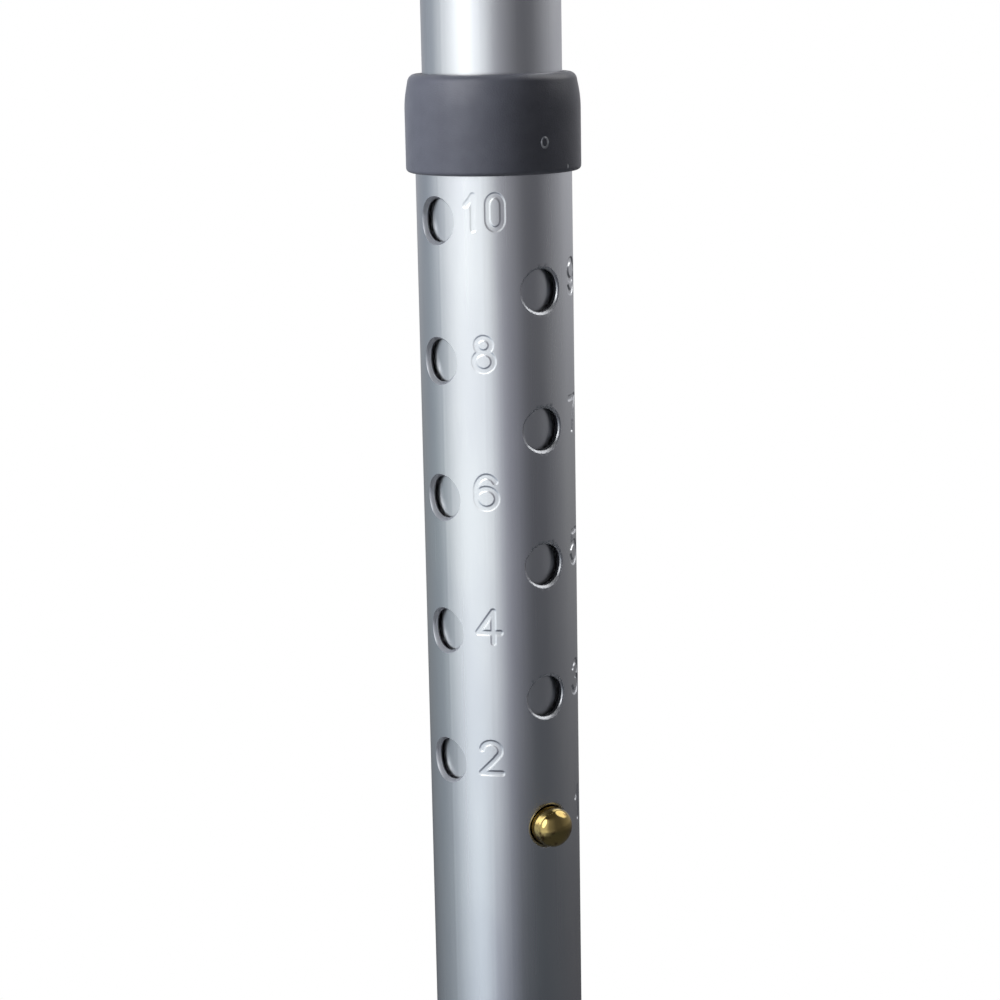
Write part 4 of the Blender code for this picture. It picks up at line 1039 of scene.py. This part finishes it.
def make_side_tubes():
    """Bent side tubes, drilled for the grip bolt, the clamp bolts and the saddle's screws."""
    grip_heights = [parallel_foot + FIRST_GRIP_HOLE + GRIP_PITCH * step for step in range(GRIP_HOLES)]
    for side, sign in SIDES.items():
        path = side_path(sign)
        tube = swept_tube("side_tube_bent_" + side, path, side_r, SIDE_WALL, 72, anodised, punched, eased)
        mouths = []
        for outward in (Vector((1, 0, 0)), Vector((-1, 0, 0))):
            mouths += [(Vector((sign * GRIP_HALF_SPAN, 0, z)), outward, BOLT_EASE) for z in grip_heights]
            mouths += [(Vector((sign * clamp_x, 0, z)), outward, BOLT_EASE) for z in bolt_z.values()]
        cut(tube, flared_cutter("drilled_holes", mouths, side_r, BOLT_WAY, BOLT_EASE, SIDE_REACH, 40))
        middle = socket_point(sign, SOCKET_DEPTH / 2)
        bored(tube, middle, middle + FORWARD * 2 * side_r, SCREW_R + GAP, 24, anodised)
        mark_drawing(tube, path)
        placed(shaded(tube), "frame", "anodised_aluminium", "side_tube_" + side)


def make_tube_ends():
    """Domed cap on the centre tube and domed plugs in the side tubes' lower ends."""
    plug = centre_r - CENTRE_WALL - GAP
    base = centre_top + GAP
    crown = high("centre_tube_cap").z
    profile = [(0.0, crown), (centre_r - CAP_MIDDLE, crown - CAP_DOME)]
    profile += corner(centre_r - CAP_ROUND, crown - CAP_ROUND - CAP_DROP, CAP_ROUND, 78, 0, 9)
    foot = base - CAP_PLUG
    profile += [(centre_r, base), (plug, base), (plug, foot + 1 * MM), (plug - 1 * MM, foot)]
    profile += [(plug - CAP_WALL, foot), (plug - CAP_WALL, base), (0.0, base)]
    cap = shaded(piece("centre_tube_domed_cap", spun(profile, 96), plastic))
    placed(cap, "frame", "dark_grey_plastic", "centre_tube_cap")
    plug = side_r - SIDE_WALL - GAP
    base = frame_foot - GAP
    tip = plug_low.z
    head = base + END_PLUG
    for side, sign in SIDES.items():
        profile = [(0.0, head), (plug - END_CHAMFER, head), (plug, head - END_CHAMFER), (plug, base)]
        profile += [(side_r, base)]
        profile += corner(side_r - CAP_ROUND, tip + CAP_ROUND + END_DROP, CAP_ROUND, 0, -80, 9) + [(0.0, tip)]
        place = Matrix.Translation((sign * clamp_x, 0, 0))
        end = shaded(piece("side_tube_end_plug_" + side, spun(profile, 72, place=place), plastic))
        placed(end, "frame", "dark_grey_plastic", "side_tube_plug_" + side)


def make_spacers():
    """Saddle blocks, hollowed on one side for the centre tube and on the other for a side tube."""
    size = (centre_r + side_r, SPACER_WIDTH, SPACER_HEIGHT)
    past = UP * SPACER_HEIGHT
    for name, level in bolt_z.items():
        for side, sign in SIDES.items():
            label = name + "_" + side
            middle = (sign * (centre_r + clamp_x - side_r) / 2, 0, level)
            spacer = rounded(piece("clamp_spacer_" + label, block(size, middle), plastic), SPACER_ROUND)
            centre = Vector((0, 0, level))
            beside = Vector((sign * clamp_x, 0, level))
            bored(spacer, centre - past, centre + past, centre_r + GAP, 96, plastic)
            bored(spacer, beside - past, beside + past, side_r + GAP, 96, plastic)
            bored(spacer, centre, (2 * sign * clamp_x, 0, level), BOLT_WAY, 40, plastic)
            placed(shaded(spacer), "frame", "dark_grey_plastic", "spacer_" + label)


def bolt_shape(length, place):
    """Domed bolt with its head's underside at height zero: plain shank and a threaded tail."""
    profile = [(0.0, BOLT_HEAD)] + arc(0, BOLT_RIM, BOLT_HEAD_R, BOLT_HEAD - BOLT_RIM, 84, 4, 14)
    profile += [(BOLT_HEAD_R, BOLT_RIM * 0.6), (BOLT_HEAD_R - BOLT_RIM_EASE, 0.0), (BOLT_R, 0.0)]
    start = THREAD_LENGTH - length
    turns = round((THREAD_LENGTH - 1 * MM) / THREAD_PITCH)
    root = BOLT_R - THREAD_DEPTH
    for turn in range(turns):
        level = start - THREAD_PITCH * turn
        crest, fall, rise = [level - THREAD_PITCH * share for share in THREAD_FORM]
        profile += [(BOLT_R, level), (BOLT_R, crest), (root, fall), (root, rise)]
    profile += [(BOLT_R, start - THREAD_PITCH * turns), (BOLT_R - BOLT_POINT, -length), (0.0, -length)]
    return spun(profile, 48, place=place)


def make_bolt(name, length, place, body, node_name):
    """Domed bolt with a hexagon socket in its head."""
    bolt = piece(name, bolt_shape(length, place), zinc)
    top = BOLT_HEAD + CLEAR
    cut(bolt, hexagon("socket", HEX_ACROSS, top - HEX_DEPTH, top, place, zinc))
    return placed(shaded(bolt), body, "zinc_plated_steel", node_name)


def make_nut(name, place):
    """Hexagon nut with chamfered corners and a round collar that holds the nylon insert."""
    nut = hexagon("lock_nut_" + name, NUT_ACROSS, 0, NUT_HEIGHT, Matrix(), zinc)
    rim = NUT_ACROSS / 2 * 0.95
    out = NUT_ACROSS / math.sqrt(3) + CLEAR
    slope = (out - rim) * math.tan(NUT_CHAMFER)
    turned = [(0.0, NUT_HEIGHT + HAIR), (rim, NUT_HEIGHT + HAIR), (out, NUT_HEIGHT - slope), (out, slope)]
    turned += [(rim, -HAIR), (0.0, -HAIR)]
    cut(nut, piece("chamfer", spun(turned, 96), zinc), operation="INTERSECT")
    top = NUT_HEIGHT + NUT_COLLAR
    soft = NUT_ROUND
    collar = [(0.0, top)] + corner(NUT_COLLAR_R - soft, top - soft, soft, 90, 0, 6)
    collar += [(NUT_COLLAR_R, NUT_HEIGHT / 2), (0.0, NUT_HEIGHT / 2)]
    cut(nut, piece("collar", spun(collar, 64), zinc), operation="UNION")
    bored(nut, (0, 0, -1 * MM), (0, 0, top + 1 * MM), BOLT_WAY, 48, zinc)
    nut.data.transform(place)
    placed(shaded(nut), "frame", "zinc_plated_steel", "frame_nut_" + name)


def make_frame_bolts():
    """Two long bolts that clamp the side tubes to the centre tube, each with a lock nut."""
    seat = clamp_x + side_r + GAP
    length = 2 * seat + GAP + NUT_HEIGHT + NUT_COLLAR + BOLT_TAIL
    for name, level in bolt_z.items():
        make_bolt("clamp_bolt_" + name, length, along_x(-seat, level, -1), "frame", "frame_bolt_" + name)
        make_nut(name, along_x(seat + GAP, level))


# ---------------------------------------------------------------- underarm saddle and cushion

def hollow_rise(x):
    """How far the saddle's curve has risen at a distance from its middle."""
    return SADDLE_RADIUS - math.sqrt(SADDLE_RADIUS ** 2 - x ** 2)


def saddle_top(x):
    """Height of the saddle beam's top, a floor's thickness above the highest edge of a side tube."""
    tube_edge_x = TOP_HALF_SPAN - side_r * math.cos(top_tilt)
    tube_edge_z = side_top + side_r * math.sin(top_tilt)
    return tube_edge_z + GAP + SADDLE_FLOOR + hollow_rise(x) - hollow_rise(tube_edge_x)


def bent_block(name, size, middle, slices, surface):
    """A block that lies along X about height zero, bent into the saddle's curve."""
    bm = block(size, middle, slices)
    for vert in bm.verts:
        vert.co.z += saddle_top(vert.co.x)
    return piece(name, bm, surface)


def make_saddle():
    """Moulded beam with a socket for each side tube and two rows of weight-saving pockets."""
    saddle = bent_block("underarm_saddle_moulding", (SADDLE_LENGTH, SADDLE_WIDTH, SADDLE_GAUGE),
                        (0, 0, -SADDLE_GAUGE / 2), SADDLE_SLICES, plastic)
    rounded(saddle, SADDLE_ROUND, 5)
    boss_r = side_r + GAP + SOCKET_WALL
    for sign in SIDES.values():
        foot = socket_point(sign, SOCKET_DEPTH)
        boss = rod("boss", foot, socket_point(sign, 0.0), boss_r, 72, plastic)
        cut(saddle, rounded(boss, BOSS_ROUND, 3), operation="UNION")
    for sign in SIDES.values():
        foot = socket_point(sign, SOCKET_DEPTH + side_r)
        bored(saddle, foot, socket_point(sign, -GAP), side_r + GAP, 72, plastic)
        middle = socket_point(sign, SOCKET_DEPTH / 2)
        bored(saddle, middle, middle + FORWARD * 2 * SADDLE_WIDTH, SCREW_R + GAP, 32, plastic)
    zone = 2 * (socket_point(1, SOCKET_DEPTH).x - boss_r / math.cos(top_tilt) - SADDLE_SKIN)
    length = (zone - (POCKETS - 1) * RIB) / POCKETS
    width = (SADDLE_WIDTH - 2 * SADDLE_SKIN - RIB) / 2
    for column in range(POCKETS):
        x = -zone / 2 + length / 2 + column * (length + RIB)
        for row in (-1, 1):
            middle = (x, row * (width + RIB) / 2, -SADDLE_SKIN - SADDLE_GAUGE / 2)
            pocket = bent_block("pocket", (length, width, SADDLE_GAUGE), middle, 6, plastic)
            cut(saddle, rounded(pocket, POCKET_ROUND, 3))
    return placed(shaded(saddle), "frame", "dark_grey_plastic", "underarm_saddle")


def make_saddle_screws():
    """Domed screws with a cross recess, which hold the saddle on the side tubes."""
    length = GAP + SOCKET_WALL + SIDE_WALL + SCREW_BITE
    profile = [(0.0, SCREW_HEAD)] + arc(0, SCREW_RIM, SCREW_HEAD_R, SCREW_HEAD - SCREW_RIM, 84, 0, 12)
    profile += [(SCREW_HEAD_R, 0.0), (SCREW_R, 0.0), (SCREW_R, SCREW_POINT - length), (0.0, -length)]
    for side, sign in SIDES.items():
        spot = socket_point(sign, SOCKET_DEPTH / 2) + FORWARD * (side_r + GAP + SOCKET_WALL + GAP)
        place = towards_front(spot)
        screw = piece("saddle_fixing_screw_" + side, spun(profile, 48, place=place), zinc)
        for turn in (0, math.pi / 2):
            bm = block(CROSS_SIZE, (0, 0, SCREW_HEAD + CROSS_LIFT))
            turned = place @ Matrix.Rotation(turn + CROSS_TURN, 4, "Z")
            bmesh.ops.transform(bm, matrix=turned, verts=bm.verts)
            cut(screw, piece("cross", bm, zinc))
        placed(shaded(screw), "frame", "zinc_plated_steel", "saddle_screw_" + side)


def spread_cuts(axis, half, parts):
    """Cuts across a block that divide it into parts, finer towards its ends."""
    shares = np.sin(np.linspace(-1, 1, parts + 1)[1:-1] * math.pi / 2)
    return [(axis, share * half) for share in shares]


def make_cushion():
    """Crowned foam cushion that slips down over the saddle and is open underneath."""
    tall = CUSHION_TOP - CUSHION_FOOT
    bm = block((CUSHION_LENGTH, CUSHION_WIDTH, tall), (0, 0, CUSHION_TOP - tall / 2))
    cuts = spread_cuts(Vector((1, 0, 0)), CUSHION_LENGTH / 2, CUSHION_COLUMNS)
    cuts += spread_cuts(Vector((0, 1, 0)), CUSHION_WIDTH / 2, CUSHION_ROWS)
    cuts += [(UP, CUSHION_FOOT + tall * share) for share in CUSHION_SLICES]
    cuts += [(UP, PARTING + offset) for offset in PARTING_CUTS]
    for axis, place in cuts:
        bmesh.ops.bisect_plane(bm, geom=bm.verts[:] + bm.edges[:] + bm.faces[:], dist=MERGE,
                               plane_co=axis * place, plane_no=axis)
    for vert in bm.verts:
        vert.co = cushion_point(vert.co)
    cushion = piece("padded_underarm_cushion", bm, foam)
    pocket = bent_block("cushion_pocket", (SADDLE_LENGTH + 4 * GAP, SADDLE_WIDTH + 4 * GAP, 2 * SADDLE_GAUGE),
                        (0, 0, 2 * GAP - SADDLE_GAUGE), SADDLE_SLICES, foam)
    cut(cushion, rounded(pocket, CUSHION_POCKET_ROUND, 3))
    return placed(shaded(cushion, 40), "frame", "grey_foam", "underarm_cushion")


def cushion_point(point):
    """Moves a point of the cushion's block onto its rounded, crowned and bent form."""
    half_x = CUSHION_LENGTH / 2
    half_y = CUSHION_WIDTH / 2
    inset = min(half_x - abs(point.x), half_y - abs(point.y))
    upward = 1 if point.z > (CUSHION_TOP + CUSHION_FOOT) / 2 else -1
    end = CUSHION_TOP if upward > 0 else CUSHION_FOOT
    soft = CUSHION_SOFT if upward > 0 else CUSHION_HEM
    reach = Vector((soft - inset, soft - abs(end - point.z)))
    x, y, z = point
    if min(reach) > 0:
        reach = reach.normalized() * min(soft, reach.length)
        x *= (half_x - soft + reach.x) / (half_x - inset)
        y *= (half_y - soft + reach.x) / (half_y - inset)
        z = end - upward * (soft - reach.y)
    past_x = max(0.0, abs(x) - half_x + CUSHION_CORNER) / CUSHION_CORNER
    past_y = max(0.0, abs(y) - half_y + CUSHION_CORNER) / CUSHION_CORNER
    x -= math.copysign(past_x * CUSHION_CORNER * (1 - math.sqrt(1 - past_y ** 2 / 2)), x)
    y -= math.copysign(past_y * CUSHION_CORNER * (1 - math.sqrt(1 - past_x ** 2 / 2)), y)
    across = y / half_y
    along = x / half_x
    rise = (z - CUSHION_FOOT) / (CUSHION_TOP - CUSHION_FOOT)
    crown = CUSHION_CROWN * across ** 2 + CUSHION_DROOP * along ** 4
    waist = CUSHION_WAIST * (1 - along ** 2)
    lean = CUSHION_LEAN * (2 * rise - 1) ** 2
    seam = PARTING_DEPTH * max(0.0, 1 - abs(z - PARTING) / PARTING_HALF)
    x -= along * (lean + seam)
    y -= across * (lean + seam + waist)
    return Vector((x, y, z - crown * max(0.0, 2 * rise - 1) + saddle_top(x)))


# ---------------------------------------------------------------- handgrip

def make_grip():
    """Handgrip: moulded core with a foam sleeve, saddle washers and a bolt with a wing nut."""
    core_end = GRIP_HALF_SPAN - GRIP_GAP
    flange = core_end - GRIP_FLANGE
    soft = GRIP_FLANGE_ROUND
    half = [(BOLT_WAY, core_end)] + corner(GRIP_FLANGE_R - soft, core_end - soft, soft, 90, 0, 6)
    soft /= 2
    half += corner(GRIP_FLANGE_R - soft, flange + soft, soft, 0, -90, 4) + [(GRIP_CORE_R, flange)]
    profile = half + [(r, -z) for r, z in reversed(half)]
    core = piece("grip_core_moulding", spun(profile, 96, ring=True, place=along_x(0, grip_z)), plastic)
    for sign in SIDES.values():
        hollowed_for_tube(core, sign)
    placed(shaded(core), "grip", "dark_grey_plastic", "grip_core")

    end = flange - GAP
    inner = GRIP_CORE_R + GAP
    lead = SLEEVE_LEAD
    soft = SLEEVE_ROUND
    profile = [(inner, end - lead), (inner + lead, end)]
    profile += corner(GRIP_SLEEVE_R - soft, end - soft, soft, 90, 0, 8)
    for i in range(1, SWELL_STEPS):
        part = i / SWELL_STEPS
        swell = GRIP_SWELL * math.sin(math.pi * part) ** 2
        profile.append((GRIP_SLEEVE_R + swell, (end - soft) * (1 - 2 * part)))
    profile += corner(GRIP_SLEEVE_R - soft, -end + soft, soft, 0, -90, 8)
    profile += [(inner + lead, -end), (inner, -end + lead)]
    sleeve = piece("foam_grip_sleeve", spun(profile, 96, ring=True, place=along_x(0, grip_z)), foam)
    placed(shaded(sleeve, 40), "grip", "grey_foam", "grip_sleeve")

    inside = GRIP_HALF_SPAN + math.sqrt((side_r + GAP) ** 2 - WASHER_R ** 2) + GAP
    face = GRIP_HALF_SPAN + side_r + GAP + WASHER
    thick = face - inside
    soft = WASHER_ROUND
    for side, sign in SIDES.items():
        profile = corner(WASHER_R - soft, thick - soft, soft, 90, 0, 5)
        profile += [(WASHER_R, 0.0), (BOLT_WAY, 0.0), (BOLT_WAY, thick)]
        ring = spun(profile, 64, ring=True, place=along_x(sign * inside, grip_z, sign))
        washer = hollowed_for_tube(piece("saddle_washer_" + side, ring, plastic), sign)
        placed(shaded(washer), "grip", "dark_grey_plastic", "grip_washer_" + side)
    seat = face + GAP
    length = 2 * seat + WING_HEIGHT + BOLT_TAIL
    make_bolt("grip_clamp_bolt", length, along_x(-seat, grip_z, -1), "grip", "grip_bolt")
    make_wing_nut(seat)


def hollowed_for_tube(made, sign):
    """Hollows a piece of the grip to sit round a side tube."""
    spot = Vector((sign * GRIP_HALF_SPAN, 0, grip_z))
    past = UP * 2 * GRIP_FLANGE_R
    return bored(made, spot - past, spot + past, side_r + GAP, 96, plastic)


def make_wing_nut(seat):
    """Pressed wing nut: a tapered boss and two round-eared wings with soft edges."""
    soft = WING_BOSS_ROUND
    profile = [(0.0, WING_HEIGHT)]
    profile += corner(WING_BOSS_R - WING_TAPER - soft, WING_HEIGHT - soft, soft, 90, 15, 4)
    profile += [(WING_BOSS_R, WING_BOSS_SIDE), (WING_BOSS_R, WING_BOSS_EASE)]
    profile += [(WING_BOSS_R - WING_BOSS_EASE, 0.0), (0.0, 0.0)]
    nut = piece("wing_nut_pressing", spun(profile, 64), zinc)
    root = WING_BOSS_R - WING_ROOT
    line = [(root, WING_FOOT), (root + WING_EAR, WING_FOOT)]
    line += corner(WING_REACH - WING_EAR, WING_RISE - WING_EAR, WING_EAR, -25, 155, 24)
    line += [(root, WING_HEIGHT - WING_DIP)]
    for sign in (-1, 1):
        bm = bmesh.new()
        face = bm.faces.new([bm.verts.new((sign * x, -WING_GAUGE / 2, z)) for x, z in line])
        grown = bmesh.ops.extrude_face_region(bm, geom=[face])["geom"]
        bmesh.ops.translate(bm, verts=only(bmesh.types.BMVert, grown), vec=(0, WING_GAUGE, 0))
        bmesh.ops.recalc_face_normals(bm, faces=bm.faces)
        rim = [edge for edge in bm.edges if abs(edge.verts[0].co.y - edge.verts[1].co.y) < WING_GAUGE / 2]
        bmesh.ops.bevel(bm, geom=rim, offset=WING_ROUND, affect="EDGES", segments=4, profile=0.5, material=-1)
        cut(nut, piece("wing", bm, zinc), operation="UNION")
    bored(nut, (0, 0, -1 * MM), (0, 0, WING_HEIGHT + 1 * MM), BOLT_WAY, 48, zinc)
    nut.data.transform(along_x(seat, grip_z))
    placed(shaded(nut), "wing_nut", "zinc_plated_steel", "wing_nut")


# ---------------------------------------------------------------- studio

def wall_stops(start, end, left, window, right, curtain, behind):
    """Ramp stops for one height of the studio: a full turn that begins behind the object."""
    stops = [(-180, behind), (start - 45, left), (start, window), (end, window), (end + 22, right),
             (end + 60, curtain), (end + 85, curtain), (125, behind)]
    return [((turn + 180) / 360, shade) for turn, shade in stops]


def comes_in(value, start, end):
    """Map Range inputs that go from nothing to all between two values."""
    return {"Value": value, "From Min": start, "From Max": end}


def sine(degrees):
    """Height on a ball of radius one, for a height in degrees."""
    return math.sin(math.radians(degrees))


def make_studio():
    """Walls and softboxes that mirrors see, an even grey fill for dull surfaces and white for the camera."""
    world = bpy.data.worlds.new("studio")
    bpy.context.scene.world = world
    world.use_nodes = True
    tree = world.node_tree
    background = tree.nodes["Background"].inputs
    direction = node(tree, "ShaderNodeTexCoord")["Generated"]
    parts = node(tree, "ShaderNodeSeparateXYZ", {0: direction})
    away = node(tree, "ShaderNodeMath", {0: parts["Y"], 1: -1.0}, operation="MULTIPLY")[0]
    turn = node(tree, "ShaderNodeMath", {0: parts["X"], 1: away}, operation="ARCTAN2")[0]
    turn = node(tree, "ShaderNodeMath", {0: turn, 1: math.pi - CAMERA_TURN}, operation="ADD")[0]
    turn = node(tree, "ShaderNodeMath", {0: turn, 1: 1 / math.tau}, operation="MULTIPLY")[0]
    turn = node(tree, "ShaderNodeMath", {0: turn}, operation="FRACT")[0]
    around = node(tree, "ShaderNodeValToRGB", {"Fac": turn}, stops=wall_stops(*WALLS[0][1:]))[0]
    for height, *row in WALLS[1:]:
        lower = node(tree, "ShaderNodeValToRGB", {"Fac": turn}, stops=wall_stops(*row))[0]
        fall = comes_in(parts["Z"], sine(height + WALL_BLEND), sine(height))
        drop = node(tree, "ShaderNodeMapRange", fall)[0]
        around = node(tree, "ShaderNodeMix", {0: drop, 6: around, 7: lower}, data_type="RGBA")[2]
    for shade, start, end in FLOOR_AND_CEILING:
        dark = node(tree, "ShaderNodeMapRange", comes_in(parts["Z"], sine(start), sine(end)))[0]
        around = node(tree, "ShaderNodeMix", {0: dark, 6: around, 7: colour(shade)}, data_type="RGBA")[2]
    for bearing, rise, half, soft, strength in SOFTBOXES:
        level = math.radians(rise)
        aim = outward_at(CAMERA_TURN + math.radians(bearing)) * math.cos(level) + UP * math.sin(level)
        near = node(tree, "ShaderNodeVectorMath", {0: direction, 1: aim}, operation="DOT_PRODUCT")["Value"]
        rim = math.cos(math.radians(half + soft))
        glow = node(tree, "ShaderNodeMapRange", comes_in(near, rim, math.cos(math.radians(half))))[0]
        shade = (strength / GLOW,) * 3 + (1.0,)
        around = node(tree, "ShaderNodeMix", {0: glow, 6: around, 7: shade}, data_type="RGBA")[2]
    path = node(tree, "ShaderNodeLightPath")
    rays = {0: path["Is Glossy Ray"], 1: path["Is Transmission Ray"]}
    mirrored = node(tree, "ShaderNodeMath", rays, operation="MAXIMUM")[0]
    lit = node(tree, "ShaderNodeMix", {0: mirrored, 6: colour(FILL), 7: around}, data_type="RGBA")[2]
    shades = {0: path["Is Camera Ray"], 6: lit, 7: (1, 1, 1, 1)}
    seen = node(tree, "ShaderNodeMix", shades, data_type="RGBA")[2]
    tree.links.new(seen, background["Color"])
    node(tree, "ShaderNodeMath", {0: mirrored, 1: GLOW - 1, 2: 1.0}, background["Strength"],
         operation="MULTIPLY_ADD")


def make_lamp(name, turn, away, above, size, power, aim=0.45, spread=180, shade="#ffffff"):
    """A soft round lamp, turned round from the camera's side, aimed at a height on the crutch's axis."""
    lamp = bpy.data.lights.new(name, "AREA")
    lamp.shape = "DISK"
    lamp.size = size
    lamp.energy = power
    lamp.color = colour(shade)[:3]
    lamp.spread = math.radians(spread)
    made = bpy.data.objects.new(name, lamp)
    target = UP * aim
    made.location = target + outward_at(CAMERA_TURN + math.radians(turn)) * away + UP * above
    made.rotation_euler = (target - made.location).to_track_quat("-Z", "Y").to_euler()
    made.visible_glossy = False
    bpy.context.scene.collection.objects.link(made)


def make_floor():
    """Pale round floor, clear from below, that fades out at its edge and stays under the sliding leg."""
    made, tree, shader = finish("pale_matt_floor", "#f2f2f0", 0.9, Emission_Color=(1, 1, 1, 1))
    path = node(tree, "ShaderNodeLightPath")
    node(tree, "ShaderNodeMath", {0: path["Is Camera Ray"], 1: FLOOR_GLOW}, shader["Emission Strength"],
         operation="MULTIPLY")
    place = node(tree, "ShaderNodeTexCoord")["Object"]
    away = node(tree, "ShaderNodeVectorMath", {0: place}, operation="LENGTH")["Value"]
    fade = node(tree, "ShaderNodeMapRange", comes_in(away, *FLOOR_FADE), interpolation_type="SMOOTHSTEP")[0]
    under = node(tree, "ShaderNodeNewGeometry")["Backfacing"]
    unseen = node(tree, "ShaderNodeMath", {0: path["Is Glossy Ray"], 1: under}, operation="MAXIMUM")[0]
    node(tree, "ShaderNodeMath", {0: fade, 1: unseen}, shader["Alpha"], operation="SUBTRACT", use_clamp=True)
    bm = bmesh.new()
    below = Matrix.Translation((0, 0, -GAP))
    bmesh.ops.create_circle(bm, cap_ends=True, segments=96, radius=FLOOR_R, matrix=below)
    floor = piece("floor", bm, made)
    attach(floor, "leg")


def make_camera():
    """The camera, close to the numbered leg and looking slightly down."""
    data = bpy.data.cameras.new("camera")
    data.lens = CAMERA_LENS
    data.clip_start = 0.01
    made = bpy.data.objects.new("camera", data)
    bpy.context.scene.collection.objects.link(made)
    bpy.context.scene.camera = made
    spot = outward_at(CAMERA_TURN) * CAMERA_AWAY + UP * (hole_z[-1] + CAMERA_ABOVE)
    turn = Matrix.Rotation(CAMERA_TURN, 4, "Z") @ Matrix.Rotation(math.pi / 2 + CAMERA_PITCH, 4, "X")
    made.matrix_world = Matrix.Translation(spot) @ turn @ Matrix.Rotation(CAMERA_ROLL, 4, "Z")


# ---------------------------------------------------------------- build

bpy.context.scene.view_settings.view_transform = "Standard"
make_camera()
make_studio()
make_lamp("key", turn=-70, away=1.4, above=0.45, size=0.7, power=24.0, shade="#eef3ff")
make_lamp("back", turn=165, away=1.4, above=0.5, size=0.9, power=14.0)
make_lamp("top", turn=0, away=0.05, above=1.6, size=1.2, power=10.0)
make_lamp("front", turn=45, away=1.3, above=0.15, size=0.4, power=4.0, aim=1.08, spread=36)
make_floor()

make_leg_tube()
make_collar()
make_gate_mark()
make_centre_tube()
make_snap_button()
make_button_spring()
make_ferrule()
make_side_tubes()
make_tube_ends()
make_spacers()
make_frame_bolts()
make_saddle()
make_saddle_screws()
make_cushion()
make_grip()

for name, surface in (("glide_ring", nylon), ("ferrule_washer", zinc)):
    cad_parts[name].data.materials.clear()
    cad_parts[name].data.materials.append(surface)
